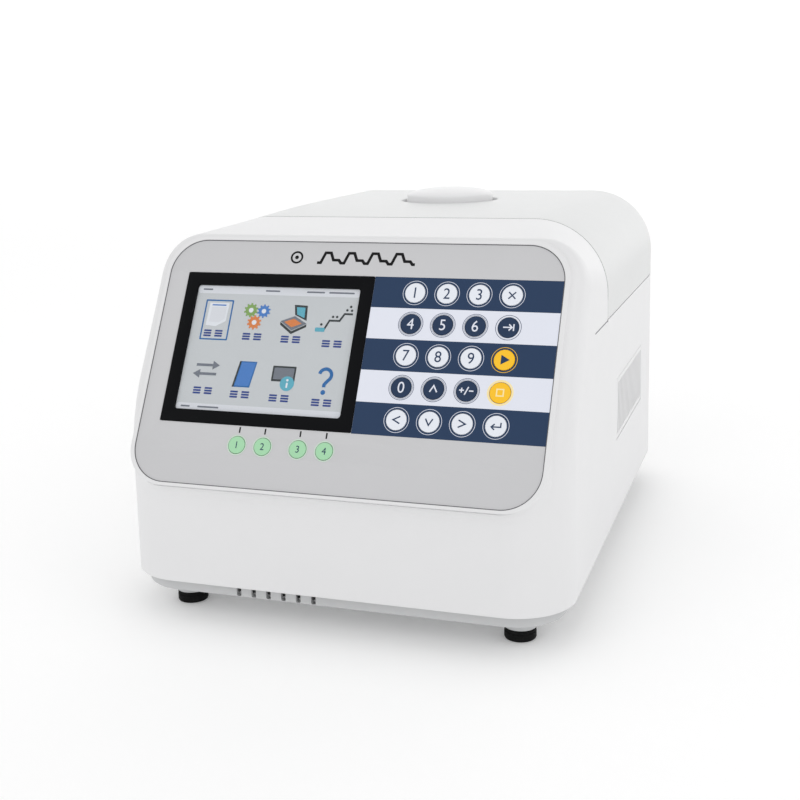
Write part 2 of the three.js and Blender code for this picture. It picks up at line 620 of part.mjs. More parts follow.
const controlPanel = new THREE.Group();
controlPanel.position.set(0, FASCIA.y, FASCIA.z);
controlPanel.rotation.x = Math.PI / 2 - FASCIA.tilt;
controlPanel.add(
  part('overlay_panel', overlayPanel(), FINISH.overlay),
  part('display_bezel', displayBezel(), FINISH.bezel),
  part('display_lens', displayLens(), FINISH.glass),
  part('lcd_module', lcdModule(), FINISH.metal),
  part('keypad_mat', keypadSheet(5.2, 6.2), FINISH.rubber),
  part('keypad_board', keypadSheet(6.5, 8.1), FINISH.board),
);
keyPlaces.forEach(({ name, x, y, size }) => {
  controlPanel.add(part(name, keyCap(size), keyFinish(name), [x, y, 0]));
});
machine.add(controlPanel);

export default machine;
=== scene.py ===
"""Looks of a bench-top thermal cycler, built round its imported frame.

Every length in this file is in millimetres unless its name says otherwise. Meshes are turned into metres
when they are made. The machine stands on the bench at z = 0 with its front towards -Y.
"""

import sys

import logging
import math
from collections.abc import Callable, Sequence
from dataclasses import dataclass
from enum import Enum

import bmesh
import bpy
import numpy as np
from mathutils import Matrix, Vector


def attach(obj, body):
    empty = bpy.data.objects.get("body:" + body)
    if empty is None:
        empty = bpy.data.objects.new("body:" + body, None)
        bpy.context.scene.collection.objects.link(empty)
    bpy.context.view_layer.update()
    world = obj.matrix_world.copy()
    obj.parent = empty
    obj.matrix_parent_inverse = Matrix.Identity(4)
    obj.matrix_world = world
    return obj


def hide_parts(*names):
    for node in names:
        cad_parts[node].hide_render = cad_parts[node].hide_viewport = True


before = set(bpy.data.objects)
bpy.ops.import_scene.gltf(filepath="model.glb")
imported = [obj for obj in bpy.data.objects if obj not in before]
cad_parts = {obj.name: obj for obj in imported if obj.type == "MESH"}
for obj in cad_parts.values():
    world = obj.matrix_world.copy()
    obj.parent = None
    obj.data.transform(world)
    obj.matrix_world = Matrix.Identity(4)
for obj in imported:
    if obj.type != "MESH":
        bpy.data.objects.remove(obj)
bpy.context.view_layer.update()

LOG = logging.getLogger("thermal_cycler")
MM = 0.001
IDENTITY = Matrix.Identity(4)

Point2 = tuple[float, float]
Loop = list[Point2]


# ---------------------------------------------------------------- mesh making


class Draft:
    """A mesh in the making, in millimetres."""

    def __init__(self) -> None:
        """Starts with no points and no faces."""
        self.points: list[Vector] = []
        self.faces: list[list[int]] = []

    def add(self, points: Sequence, faces: Sequence, place: Matrix = IDENTITY) -> None:
        """Adds points and faces.

        Args:
            points: corner positions before placing.
            faces: corner numbers of each face, counted from the first new point.
            place: where the new points go.
        """
        start = len(self.points)
        self.points.extend(place @ Vector(point) for point in points)
        self.faces.extend([start + number for number in face] for face in faces)

    def skin(self, rows: Sequence, closed: bool, flip: bool = False, place: Matrix = IDENTITY,
             keep: Callable[[Vector], bool] | None = None) -> None:
        """Joins neighbouring rows of points with four-sided faces.

        Args:
            rows: rows of points, all of one length.
            closed: whether each row runs round to its own start.
            flip: whether the faces turn the other way.
            place: where the new points go.
            keep: tells from the middle of a face whether it is made.
        """
        count = len(rows[0])
        points = [Vector(point) for row in rows for point in row]
        faces = []
        for row in range(len(rows) - 1):
            for column in range(count if closed else count - 1):
                here, there = row * count + column, row * count + (column + 1) % count
                face = [here, there, there + count, here + count]
                if keep is None or keep((points[face[0]] + points[face[2]]) / 2):
                    faces.append(face[::-1] if flip else face)
        self.add(points, faces, place)

    def lathe(self, profile: Sequence[Point2], segments: int, place: Matrix = IDENTITY) -> None:
        """Turns a profile about the local Z axis; a radius of zero closes an end.

        Args:
            profile: radius and height of each ring, from the bottom up on the outside.
            segments: number of faces round the axis.
            place: where the turned shape goes.
        """
        start = len(self.points)
        turns = [2 * math.pi * step / segments for step in range(segments)]
        rings = []
        for radius, height in profile:
            if radius < 1e-6:
                self.add([(0, 0, height)], [], place)
                rings.append([len(self.points) - 1] * segments)
            else:
                self.add([(radius * math.cos(turn), radius * math.sin(turn), height) for turn in turns], [],
                         place)
                rings.append(list(range(len(self.points) - segments, len(self.points))))
        for low, high in zip(rings, rings[1:]):
            for step in range(segments):
                after = (step + 1) % segments
                face = list(dict.fromkeys([low[step], low[after], high[after], high[step]]))
                if len(face) > 2:
                    self.faces.append(face)
        assert len(self.points) > start

    def prism(self, loop: Loop, low: float, high: float, place: Matrix = IDENTITY) -> None:
        """Adds a closed prism over an outline that turns to the left.

        Args:
            loop: outline in local X and Y.
            low: local height of the bottom.
            high: local height of the top.
            place: where the prism goes.
        """
        count = len(loop)
        points = [(x, y, low) for x, y in loop] + [(x, y, high) for x, y in loop]
        faces = [[step, (step + 1) % count, count + (step + 1) % count,
                  count + step] for step in range(count)]
        self.add(points, [*faces, list(range(count))[::-1], list(range(count, 2 * count))], place)

    def box(self, low: Sequence[float], high: Sequence[float], place: Matrix = IDENTITY) -> None:
        """Adds an upright box between two corners."""
        loop = [(low[0], low[1]), (high[0], low[1]), (high[0], high[1]), (low[0], high[1])]
        self.prism(loop, low[2], high[2], place)

    def mesh(self, name: str, weld: float = 0.002) -> bpy.types.Mesh:
        """Makes the mesh in metres, with points closer than weld (in mm) joined."""
        mesh = bpy.data.meshes.new(name)
        mesh.from_pydata([point * MM for point in self.points], [], self.faces)
        work = bmesh.new()
        work.from_mesh(mesh)
        bmesh.ops.remove_doubles(work, verts=work.verts, dist=weld * MM)
        work.to_mesh(mesh)
        work.free()
        return mesh

    def object(self, name: str) -> bpy.types.Object:
        """Makes an object of the draft and links it."""
        return link(name, self.mesh(name))


def link(name: str, data: bpy.types.ID) -> bpy.types.Object:
    """Links a new object to the scene."""
    thing = bpy.data.objects.new(name, data)
    bpy.context.scene.collection.objects.link(thing)
    return thing


def baked(thing: bpy.types.Object) -> bpy.types.Mesh:
    """Returns the object's evaluated shape as a plain mesh."""
    bpy.context.view_layer.update()
    depsgraph = bpy.context.evaluated_depsgraph_get()
    return bpy.data.meshes.new_from_object(thing.evaluated_get(depsgraph))


def settle(thing: bpy.types.Object, crease: float = 35.0) -> bpy.types.Object:
    """Applies the modifiers and shades smooth, with edges sharp above an angle.

    Args:
        thing: a mesh object.
        crease: the angle in degrees.

    Returns:
        The same object with a plain mesh.
    """
    mesh = baked(thing)
    thing.modifiers.clear()
    thing.data = mesh
    mesh.shade_smooth()
    mesh.set_sharp_from_angle(angle=math.radians(crease))
    return thing


def soften(thing: bpy.types.Object, width: float, segments: int = 2,
           angle: float = 40.0) -> bpy.types.Object:
    """Adds a bevel to the sharp edges and settles the object."""
    bevel = thing.modifiers.new("edges", "BEVEL")
    bevel.width = width * MM
    bevel.segments = segments
    bevel.limit_method = "ANGLE"
    bevel.angle_limit = math.radians(angle)
    bevel.use_clamp_overlap = True
    return settle(thing)


def carve(thing: bpy.types.Object, cutter: Draft) -> bpy.types.Object:
    """Cuts a draft out of an object and returns the object."""
    tool = cutter.object("cutter")
    cut = thing.modifiers.new("cut", "BOOLEAN")
    cut.operation = "DIFFERENCE"
    cut.solver = "EXACT"
    cut.object = tool
    mesh = baked(thing)
    thing.modifiers.clear()
    thing.data = mesh
    bpy.data.objects.remove(tool)
    return thing


def placed(thing: bpy.types.Object, place: Matrix) -> bpy.types.Object:
    """Moves the mesh itself; the place's lengths are in millimetres."""
    move = place.copy()
    move.translation *= MM
    thing.data.transform(move)
    return thing


def rounded_loop(x0: float, x1: float, y0: float, y1: float, radius: float, steps: int = 8) -> Loop:
    """Returns a rounded rectangle that turns to the left."""
    corners = [(x1 - radius, y0 + radius, -90), (x1 - radius, y1 - radius, 0),
               (x0 + radius, y1 - radius, 90), (x0 + radius, y0 + radius, 180)]
    return [(x + radius * math.cos(math.radians(start + 90 * step / steps)),
             y + radius * math.sin(math.radians(start + 90 * step / steps)))
            for x, y, start in corners for step in range(steps + 1)]


def circle(x: float, y: float, radius: float, steps: int = 32) -> Loop:
    """Returns a circle that turns to the left."""
    return [(x + radius * math.cos(2 * math.pi * step / steps),
             y + radius * math.sin(2 * math.pi * step / steps))
            for step in range(steps)]


def stroke(points: Loop, width: float) -> Loop:
    """Returns the outline of an open line drawn with a broad pen."""
    sides: tuple[Loop, Loop] = ([], [])
    for number, (x, y) in enumerate(points):
        before = Vector(points[max(number - 1, 0)])
        after = Vector(points[min(number + 1, len(points) - 1)])
        here = Vector((x, y))
        first = (here - before).normalized() if number else (after - here).normalized()
        second = (after - here).normalized() if number < len(points) - 1 else first
        across = Vector((-(first + second).y, (first + second).x)).normalized()
        reach = width / 2 / max(across.dot(Vector((-first.y, first.x))), 0.4)
        sides[0].append((x + across.x * reach, y + across.y * reach))
        sides[1].append((x - across.x * reach, y - across.y * reach))
    return sides[1] + sides[0][::-1]


def sheet_of(name: str, loops: Sequence[Loop], top: float, bottom: float,
             bevel: float = 0.0) -> bpy.types.Object:
    """Makes a flat piece between two local heights, its outline and holes filled as one.

    Args:
        name: the piece's name.
        loops: outlines; one inside another is a hole.
        top: local height of the upper face.
        bottom: local height of the lower face.
        bevel: rounding of the upper and lower edges.

    Returns:
        The mesh object, still in its own flat frame.
    """
    curve = bpy.data.curves.new(name, "CURVE")
    curve.dimensions = "2D"
    curve.fill_mode = "BOTH"
    for loop in loops:
        spline = curve.splines.new("POLY")
        spline.points.add(len(loop) - 1)
        for point, (x, y) in zip(spline.points, loop):
            point.co = (x * MM, y * MM, 0, 1)
        spline.use_cyclic_u = True
    curve.extrude = max((top - bottom) / 2 - bevel, 0) * MM
    curve.bevel_depth = bevel * MM
    curve.bevel_resolution = 1
    curve.offset = -bevel * MM
    thing = link("outline", curve)
    mesh = baked(thing)
    mesh.name = name
    bpy.data.objects.remove(thing)
    mesh.transform(Matrix.Translation((0, 0, (top + bottom) / 2 * MM)))
    work = bmesh.new()
    work.from_mesh(mesh)
    bmesh.ops.remove_doubles(work, verts=work.verts, dist=1e-7)
    bmesh.ops.recalc_face_normals(work, faces=work.faces)
    work.to_mesh(mesh)
    work.free()
    return link(name, mesh)


def numeral(text: str, size: float, top: float, bottom: float) -> bpy.types.Object:
    """Makes a figure centred on the local origin, as a thin plate."""
    letters = bpy.data.curves.new("figure", "FONT")
    letters.body = text
    letters.size = size * MM
    letters.align_x = "CENTER"
    letters.align_y = "CENTER"
    letters.extrude = (top - bottom) / 2 * MM
    letters.resolution_u = 6
    thing = link("figure", letters)
    mesh = baked(thing)
    bpy.data.objects.remove(thing)
    spots = np.array([corner.co for corner in mesh.vertices])
    middle = (spots.min(0) + spots.max(0)) / 2
    mesh.transform(Matrix.Translation((-middle[0], -middle[1], (top + bottom) / 2 * MM - middle[2])))
    return link("figure_" + text, mesh)


def merged(name: str, things: Sequence[bpy.types.Object]) -> bpy.types.Object:
    """Joins several mesh objects into one plain mesh and keeps their materials."""
    work = bmesh.new()
    materials: list[bpy.types.Material] = []
    for thing in things:
        first = len(work.faces)
        work.from_mesh(thing.data)
        work.faces.ensure_lookup_table()
        for face in work.faces[first:]:
            material = thing.data.materials[face.material_index] if thing.data.materials else None
            if material is not None and material not in materials:
                materials.append(material)
            face.material_index = materials.index(material) if material is not None else 0
    mesh = bpy.data.meshes.new(name)
    work.to_mesh(mesh)
    work.free()
    for material in materials:
        mesh.materials.append(material)
    for thing in things:
        bpy.data.objects.remove(thing)
    return link(name, mesh)


# ---------------------------------------------------------------- finishes


class Pattern(Enum):
    """How a finish's fine relief runs over the surface."""

    GRAIN = (1.0, 1.0, 1.0)
    BRUSHED_X = (0.02, 1.0, 1.0)
    BRUSHED_Y = (1.0, 0.02, 1.0)


@dataclass(frozen=True)
class Finish:
    """A surface finish: colour, gloss, fine relief and slow variation.

    Attributes:
        name: the material's name.
        slot: the record's material slot; not used.
        colour: sRGB colour as red, green and blue from 0 to 255.
        roughness: middle roughness.
        metallic: 1 for bare metal.
        relief: depth of the fine relief in micrometres.
        grain: width of the fine relief in millimetres.
        mottle: share by which the colour varies slowly.
        glow: strength of the light that the surface gives off.
        alpha: how solid the surface is.
        coat: strength of a clear coat.
        sheen: strength of soft backscatter on matt rubber.
        specular: strength of the mirror reflection.
        pattern: direction of the relief.
    """

    name: str
    slot: str
    colour: tuple[int, int, int]
    roughness: float = 0.45
    metallic: float = 0.0
    relief: float = 12.0
    grain: float = 0.7
    mottle: float = 0.02
    glow: float = 0.0
    alpha: float = 1.0
    coat: float = 0.0
    sheen: float = 0.0
    specular: float = 0.5
    pattern: Pattern = Pattern.GRAIN

    def linear(self, share: float = 1.0) -> tuple[float, float, float, float]:
        """Returns the colour in linear light, scaled by a share."""
        parts = [value / 255 for value in self.colour]
        curve = [part / 12.92 if part <= 0.04045 else ((part + 0.055) / 1.055) ** 2.4 for part in parts]
        return (*(min(part * share, 1.0) for part in curve), 1.0)

    def material(self) -> bpy.types.Material:
        """Returns the material, built on first use."""
        known = bpy.data.materials.get(self.name)
        return known or self._build()

    def _build(self) -> bpy.types.Material:
        """Builds the node tree."""
        material = bpy.data.materials.new(self.name)
        material.use_nodes = True
        tree = material.node_tree
        shader = tree.nodes["Principled BSDF"]
        shader.inputs["Metallic"].default_value = self.metallic
        shader.inputs["Alpha"].default_value = self.alpha
        shader.inputs["Coat Weight"].default_value = self.coat
        shader.inputs["Coat Roughness"].default_value = 0.12
        shader.inputs["Sheen Weight"].default_value = self.sheen
        shader.inputs["Specular IOR Level"].default_value = self.specular
        place = tree.nodes.new("ShaderNodeTexCoord")
        stretch = tree.nodes.new("ShaderNodeMapping")
        stretch.inputs["Scale"].default_value = self.pattern.value
        tree.links.new(place.outputs["Object"], stretch.inputs["Vector"])
        fine = self._noise(tree, stretch.outputs["Vector"], 1 / (self.grain * MM), 3.0)
        slow = self._noise(tree, place.outputs["Object"], 28.0, 2.0)
        spots = self._noise(tree, place.outputs["Object"], 240.0, 4.0)
        bump = tree.nodes.new("ShaderNodeBump")
        bump.inputs["Strength"].default_value = 0.6
        bump.inputs["Distance"].default_value = self.relief * 1e-6
        tree.links.new(fine, bump.inputs["Height"])
        tree.links.new(bump.outputs["Normal"], shader.inputs["Normal"])
        gloss = tree.nodes.new("ShaderNodeMapRange")
        gloss.inputs["To Min"].default_value = max(self.roughness - 0.06, 0.02)
        gloss.inputs["To Max"].default_value = min(self.roughness + 0.08, 1.0)
        tree.links.new(spots, gloss.inputs["Value"])
        tree.links.new(gloss.outputs["Result"], shader.inputs["Roughness"])
        tint = tree.nodes.new("ShaderNodeMix")
        tint.data_type = "RGBA"
        tint.inputs["A"].default_value = self.linear(1 - self.mottle)
        tint.inputs["B"].default_value = self.linear(1 + self.mottle)
        tree.links.new(slow, tint.inputs["Factor"])
        tree.links.new(tint.outputs["Result"], shader.inputs["Base Color"])
        if self.glow:
            tree.links.new(tint.outputs["Result"], shader.inputs["Emission Color"])
            shader.inputs["Emission Strength"].default_value = self.glow
        return material

    @staticmethod
    def _noise(tree: bpy.types.NodeTree, vector: bpy.types.NodeSocket, scale: float,
               detail: float) -> bpy.types.NodeSocket:
        """Adds a noise texture and returns its value socket."""
        noise = tree.nodes.new("ShaderNodeTexNoise")
        noise.inputs["Scale"].default_value = scale
        noise.inputs["Detail"].default_value = detail
        tree.links.new(vector, noise.inputs["Vector"])
        return noise.outputs["Fac"]


CASING_WHITE = Finish("moulded_white", "casing_white", (229, 229, 230), 0.4, relief=9, grain=0.8,
                      mottle=0.012)
LID_WHITE = Finish("moulded_white_lid", "lid_white", (219, 220, 220), 0.4, relief=9, grain=0.8,
                   mottle=0.012)
KNOB_WHITE = Finish("polished_white", "knob_white", (234, 234, 235), 0.4, relief=1, grain=1.6, mottle=0.01)
PAN_GREY = Finish("powder_grey", "pan_grey", (198, 199, 200), 0.55, relief=22, grain=0.5, mottle=0.03)
FOOT_RUBBER = Finish("foot_black_rubber", "foot_rubber", (13, 13, 14), 0.8, relief=20, grain=0.5,
                     mottle=0.08, specular=0.2)
OVERLAY_GREY = Finish("overlay_silver_grey", "overlay_grey", (201, 201, 203), 0.42, relief=5, grain=0.3,
                      mottle=0.015)
INK_NAVY = Finish("ink_navy", "overlay_grey", (42, 62, 92), 0.45, relief=5, grain=0.3, mottle=0.03,
                  specular=0.15)
INK_WHITE = Finish("ink_pale_white", "overlay_grey", (228, 231, 242), 0.45, relief=5, grain=0.3,
                   mottle=0.012)
INK_BLACK = Finish("ink_black", "overlay_grey", (14, 14, 16), 0.45, relief=4, grain=0.3, mottle=0.06,
                   specular=0.15)
INK_YELLOW = Finish("ink_yellow", "overlay_grey", (250, 196, 40), 0.45, relief=4, grain=0.3, mottle=0.02)
INK_PALE_YELLOW = Finish("ink_pale_yellow", "overlay_grey", (252, 232, 170), 0.45, relief=4, grain=0.3,
                         mottle=0.02)
INK_PALE_GREEN = Finish("ink_pale_green", "overlay_grey", (205, 222, 208), 0.45, relief=4, grain=0.3,
                        mottle=0.02)
BEZEL_BLACK = Finish("border_deep_black", "bezel_black", (8, 9, 12), 0.5, relief=3, grain=0.6, mottle=0.08,
                     specular=0.08)
LENS_CLEAR = Finish("lens_clear", "display_glass", (60, 66, 72), 0.2, relief=1, grain=3.0, mottle=0.01,
                    alpha=0.04, specular=0.2)
KEY_WHITE = Finish("key_white_film", "key_white", (232, 236, 244), 0.4, relief=5, grain=0.3, mottle=0.012)
KEY_NAVY = Finish("key_navy_film", "key_navy", (40, 58, 86), 0.4, relief=5, grain=0.3, mottle=0.04,
                  specular=0.15)
KEY_YELLOW = Finish("key_yellow_film", "key_yellow", (254, 196, 0), 0.4, relief=5, grain=0.3, mottle=0.02)
KEY_GREEN = Finish("key_green_film", "key_green", (165, 217, 174), 0.4, relief=5, grain=0.3, mottle=0.02)
FRAME_METAL = Finish("stamped_frame", "display_frame_metal", (150, 152, 156), 0.35, 1.0, 8, 0.4, 0.05)
MAT_RUBBER = Finish("switch_mat", "switch_mat_rubber", (60, 60, 66), 0.8, relief=14, grain=0.5, mottle=0.05)
BOARD_GREEN = Finish("board_green", "circuit_board", (24, 88, 52), 0.4, relief=10, grain=1.6, mottle=0.12,
                     coat=0.3)
BLOCK_METAL = Finish("block_blasted", "block_aluminium", (205, 207, 209), 0.38, 1.0, 16, 0.25, 0.03)
GASKET_RUBBER = Finish("gasket_black", "gasket_rubber", (30, 30, 32), 0.75, relief=14, grain=0.5,
                       mottle=0.07)
CERAMIC_WHITE = Finish("cooler_ceramic", "peltier_ceramic", (232, 229, 222), 0.7, relief=10, grain=0.3,
                       mottle=0.02)
SINK_METAL = Finish("sink_extruded", "heat_sink_aluminium", (190, 192, 195), 0.34, 1.0, 14, 0.3, 0.03,
                    pattern=Pattern.BRUSHED_Y)
FAN_BLACK = Finish("fan_black", "fan_plastic", (28, 28, 30), 0.5, relief=10, grain=0.6, mottle=0.06)
SUPPLY_METAL = Finish("supply_sheet", "supply_case", (184, 186, 189), 0.4, 1.0, 10, 0.8, 0.04)
REAR_GREY = Finish("rear_powder_grey", "rear_panel_metal", (172, 174, 176), 0.55, relief=24, grain=0.5,
                   mottle=0.03)
INLET_BLACK = Finish("inlet_black", "inlet_plastic", (26, 26, 28), 0.45, relief=10, grain=0.6, mottle=0.06)
ROCKER_BLACK = Finish("rocker_black", "rocker_plastic", (22, 22, 24), 0.25, relief=4, grain=1.0,
                      mottle=0.06)
ROCKER_MARK = Finish("rocker_white_mark", "rocker_plastic", (232, 232, 230), 0.5, relief=4, grain=0.3,
                     mottle=0.02)
PORT_STEEL = Finish("port_plated", "port_steel", (205, 207, 210), 0.22, 1.0, 4, 0.5, 0.03)
HINGE_STEEL = Finish("hinge_brushed", "hinge_steel", (188, 190, 193), 0.36, 1.0, 10, 0.12, 0.04,
                     pattern=Pattern.BRUSHED_X)
BRIDGE_STEEL = Finish("bridge_brushed", "bridge_steel", (176, 178, 182), 0.38, 1.0, 10, 0.12, 0.04,
                      pattern=Pattern.BRUSHED_X)
SCREW_STEEL = Finish("screw_turned", "screw_steel", (200, 202, 205), 0.25, 1.0, 10, 0.15, 0.03,
                     pattern=Pattern.BRUSHED_X)
CARRIER_BLACK = Finish("carrier_black", "carrier_plastic", (34, 34, 36), 0.55, relief=14, grain=0.4,
                       mottle=0.06)
PLATE_METAL = Finish("plate_anodised", "plate_aluminium", (96, 97, 100), 0.4, 1.0, 12, 0.25, 0.04)
# painted shadow: dark grey for the thin frame laid in the gap round the overlay's edge, where there is only
# shade
OVERLAY_GAP_PAINTED_SHADOW = Finish("edge_shadow", "overlay_grey", (92, 92, 96), 0.8, relief=6, grain=0.4, mottle=0.05)
# painted shadow: mid grey for the strip laid in the gap between lid and housing, where there is only shade
SEAM_PAINTED_SHADOW = Finish("seam_shadow", "casing_white", (118, 118, 121), 0.8, relief=6, grain=0.4, mottle=0.05)


def present(thing: bpy.types.Object, body: str, finish: Finish,
            replaces: Sequence[str] = ()) -> bpy.types.Object:
    """Dresses a finished piece and lets it ride on its body.

    Args:
        thing: the finished mesh object at the origin.
        body: the frame's body that it moves with.
        finish: its finish, used where its mesh has none of its own.
        replaces: the frame's nodes that it stands for.

    Returns:
        The same object.
    """
    if not thing.data.materials:
        thing.data.materials.append(finish.material())
    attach(thing, body)
    if replaces:
        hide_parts(*replaces)
    LOG.info("%s: %d faces on %s", thing.name, len(thing.data.polygons), body)
    return thing


def dress(node: str, finish: Finish) -> None:
    """Gives a frame node that stays in view its finish."""
    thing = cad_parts[node]
    thing.data.materials.clear()
    thing.data.materials.append(finish.material())
    LOG.info("%s: kept with %s", node, finish.name)


# ---------------------------------------------------------------- pieces that repeat


class RepeatTree:
    """A Geometry Nodes tree that sets copies of a piece out in columns and rows."""

    def __init__(self) -> None:
        """Builds the tree with named inputs for the piece, the counts, the pitches and the material."""
        self.tree = bpy.data.node_groups.new("columns_and_rows", "GeometryNodeTree")
        sockets = self.tree.interface
        sockets.new_socket("Geometry", in_out="OUTPUT", socket_type="NodeSocketGeometry")
        kinds = {"Piece": "NodeSocketObject", "Columns": "NodeSocketInt", "Rows": "NodeSocketInt",
                 "Column Pitch": "NodeSocketFloat", "Row Pitch": "NodeSocketFloat",
                 "Start": "NodeSocketVector", "Material": "NodeSocketMaterial"}
        self.keys = {name: sockets.new_socket(name, in_out="INPUT", socket_type=kind).identifier
                     for name, kind in kinds.items()}
        self._wire()

    def _maths(self, operation: str, first: bpy.types.NodeSocket,
               second: bpy.types.NodeSocket | None = None) -> bpy.types.NodeSocket:
        """Adds a Math node and returns its result."""
        node = self.tree.nodes.new("ShaderNodeMath")
        node.operation = operation
        self.tree.links.new(first, node.inputs[0])
        if second is not None:
            self.tree.links.new(second, node.inputs[1])
        return node.outputs[0]

    def _wire(self) -> None:
        """Wires points, copies, realised mesh and material."""
        new, links = self.tree.nodes.new, self.tree.links.new
        given, result = new("NodeGroupInput"), new("NodeGroupOutput")
        columns = given.outputs["Columns"]
        total = self._maths("MULTIPLY", columns, given.outputs["Rows"])
        index = new("GeometryNodeInputIndex").outputs[0]
        column = self._maths("MODULO", index, columns)
        row = self._maths("FLOOR", self._maths("DIVIDE", index, columns))
        points, spread = new("GeometryNodePoints"), new("ShaderNodeCombineXYZ")
        copies = new("GeometryNodeInstanceOnPoints")
        links(total, points.inputs["Count"])
        links(self._maths("MULTIPLY", column, given.outputs["Column Pitch"]), spread.inputs["X"])
        links(self._maths("MULTIPLY", row, given.outputs["Row Pitch"]), spread.inputs["Y"])
        shift = new("ShaderNodeVectorMath")
        links(spread.outputs[0], shift.inputs[0])
        links(given.outputs["Start"], shift.inputs[1])
        links(shift.outputs[0], points.inputs["Position"])
        piece = new("GeometryNodeObjectInfo")
        links(given.outputs["Piece"], piece.inputs["Object"])
        links(points.outputs[0], copies.inputs["Points"])
        links(piece.outputs["Geometry"], copies.inputs["Instance"])
        real, paint = new("GeometryNodeRealizeInstances"), new("GeometryNodeSetMaterial")
        links(copies.outputs[0], real.inputs[0])
        links(real.outputs[0], paint.inputs["Geometry"])
        links(given.outputs["Material"], paint.inputs["Material"])
        links(paint.outputs[0], result.inputs[0])

    def rows(self, name: str, piece: bpy.types.Object, finish: Finish, columns: int, rows: int,
             pitch: Point2, start: Point2) -> bpy.types.Object:
        """Sets copies of a piece out and bakes them to one plain mesh.

        Args:
            name: the name of the new object.
            piece: the piece to copy, which is removed afterwards.
            finish: the finish of the copies.
            columns: copies along local X.
            rows: copies along local Y.
            pitch: distance between columns and between rows.
            start: place of the first copy.

        Returns:
            The new mesh object, in the piece's own flat frame.
        """
        host = link(name, bpy.data.meshes.new(name))
        spread = host.modifiers.new("copies", "NODES")
        spread.node_group = self.tree
        for key, value in {"Piece": piece, "Columns": columns, "Rows": rows, "Column Pitch": pitch[0] * MM,
                           "Row Pitch": pitch[1] * MM, "Start": (start[0] * MM, start[1] * MM, 0.0),
                           "Material": finish.material()}.items():
            spread[self.keys[key]] = value
        settle(host)
        bpy.data.objects.remove(piece)
        return host


REPEAT = RepeatTree()


# ---------------------------------------------------------------- casing form

TILT = math.radians(30.5)
PANEL_PLACE = Matrix.Translation((0, -170.5, 176)) @ Matrix.Rotation(math.pi / 2 - TILT, 4, "X")
SEAM_Y = -58.9
DECK_Z = 182.0


@dataclass(frozen=True)
class CasingForm:
    """The outer form of the casing, as distances in millimetres that are negative inside."""

    half_base: float = 149.5
    draft_width: float = 2.3
    base_z: float = 27.0
    rear_y: float = 212.5
    front_corner: float = 39.0
    side_corner: float = 50.0
    rear_corner: float = 45.0
    seam_top: float = 249.9
    crown_rise: float = 0.0876
    lid_top: float = 252.4
    crown_y: float = 70.5
    panel_depth: float = 2.0

    def half_width(self, z: np.ndarray) -> np.ndarray:
        """Returns the half width of the drafted walls at a height."""
        return self.half_base - self.draft_width * np.clip((z - self.base_z) / 173, 0, 1)

    def crown(self, y: np.ndarray) -> np.ndarray:
        """Returns the height of the crown in front of the seam."""
        return self.seam_top + self.crown_rise * (np.minimum(y, SEAM_Y) - SEAM_Y)

    @staticmethod
    def rounded(qx: np.ndarray, qz: np.ndarray, radius: np.ndarray | float) -> np.ndarray:
        """Returns the distance from a rounded corner, from the two distances past its centre."""
        outside = np.hypot(np.maximum(qx, 0), np.maximum(qz, 0))
        return outside + np.minimum(np.maximum(qx, qz), 0) - radius

    def walls(self, p: np.ndarray) -> np.ndarray:
        """Returns the distance from the walls and crown, without the tilted front."""
        half = self.half_width(p[:, 2])
        share = np.clip((p[:, 1] + 135) / (SEAM_Y + 135), 0, 1)
        shoulder = 27 + 23 * share
        across = np.abs(p[:, 0])
        section = self.rounded(across - half + shoulder, p[:, 2] - self.crown(p[:, 1]) + shoulder, shoulder)
        plan = self.rounded(across - half + self.front_corner,
                            -p[:, 1] - self.rear_y + self.front_corner, self.front_corner)
        return np.maximum(section, plan)

    def housing(self, p: np.ndarray) -> np.ndarray:
        """Returns the distance from the housing, tilted front and its soft edges included."""
        wall = self.walls(p)
        step = np.array([0.05, 0, 0])
        lean = np.clip((self.walls(p + step) - self.walls(p - step)) / 0.1, -1, 1) ** 2
        front = -math.cos(TILT) * (p[:, 1] + 170.5) + math.sin(TILT) * (p[:, 2] - 176) + self.panel_depth
        front = front * (1 - 0.5 * lean)
        reach = 3 + 8 * lean
        overlap = np.maximum(reach - np.abs(wall - front), 0)
        return np.maximum(wall, front) + overlap ** 2 / (4 * reach)

    def lid(self, p: np.ndarray) -> np.ndarray:
        """Returns the distance from the lid."""
        top = self.lid_top - 2.5 * (np.clip(self.crown_y - p[:, 1], 0, None) / 128.5) ** 2
        ratio = self.side_corner / self.rear_corner
        q = np.stack([np.abs(p[:, 0]) - self.half_width(p[:, 2]) + self.side_corner,
                      (p[:, 1] - self.rear_y + self.rear_corner) * ratio,
                      p[:, 2] - top + self.side_corner])
        return np.linalg.norm(np.maximum(q, 0), axis=0) + np.minimum(q.max(0), 0) - self.side_corner

    @staticmethod
    def project(form: Callable[[np.ndarray], np.ndarray], p: np.ndarray, centre: np.ndarray) -> np.ndarray:
        """Moves points along rays from inner centres until they lie on a form.

        Args:
            form: the distance function.
            p: the points.
            centre: one inner point for each.

        Returns:
            The points on the form.
        """
        ray = p - centre
        ray = ray / np.linalg.norm(ray, axis=1, keepdims=True)
        near, far = np.zeros(len(p)), np.full(len(p), 420.0)
        for _ in range(44):
            middle = (near + far) / 2
            inside = form(centre + ray * middle[:, None]) < 0
            near, far = np.where(inside, middle, near), np.where(inside, far, middle)
        return centre + ray * near[:, None]


FORM = CasingForm()


def spaced(first: Sequence[float], last: Sequence[float], count: int) -> list[np.ndarray]:
    """Returns evenly spaced points from the first up to, but without, the last."""
    a, b = np.array(first, float), np.array(last, float)
    return [a + (b - a) * step / count for step in range(count)]


def quarter(centre: Sequence[float], u: Sequence[float], v: Sequence[float],
            count: int) -> list[np.ndarray]:
    """Returns a quarter turn from centre + u towards centre + v, without its last point."""
    c, a, b = (np.array(part, float) for part in (centre, u, v))
    turns = [math.pi / 2 * step / count for step in range(count)]
    return [c + a * math.cos(turn) + b * math.sin(turn) for turn in turns]


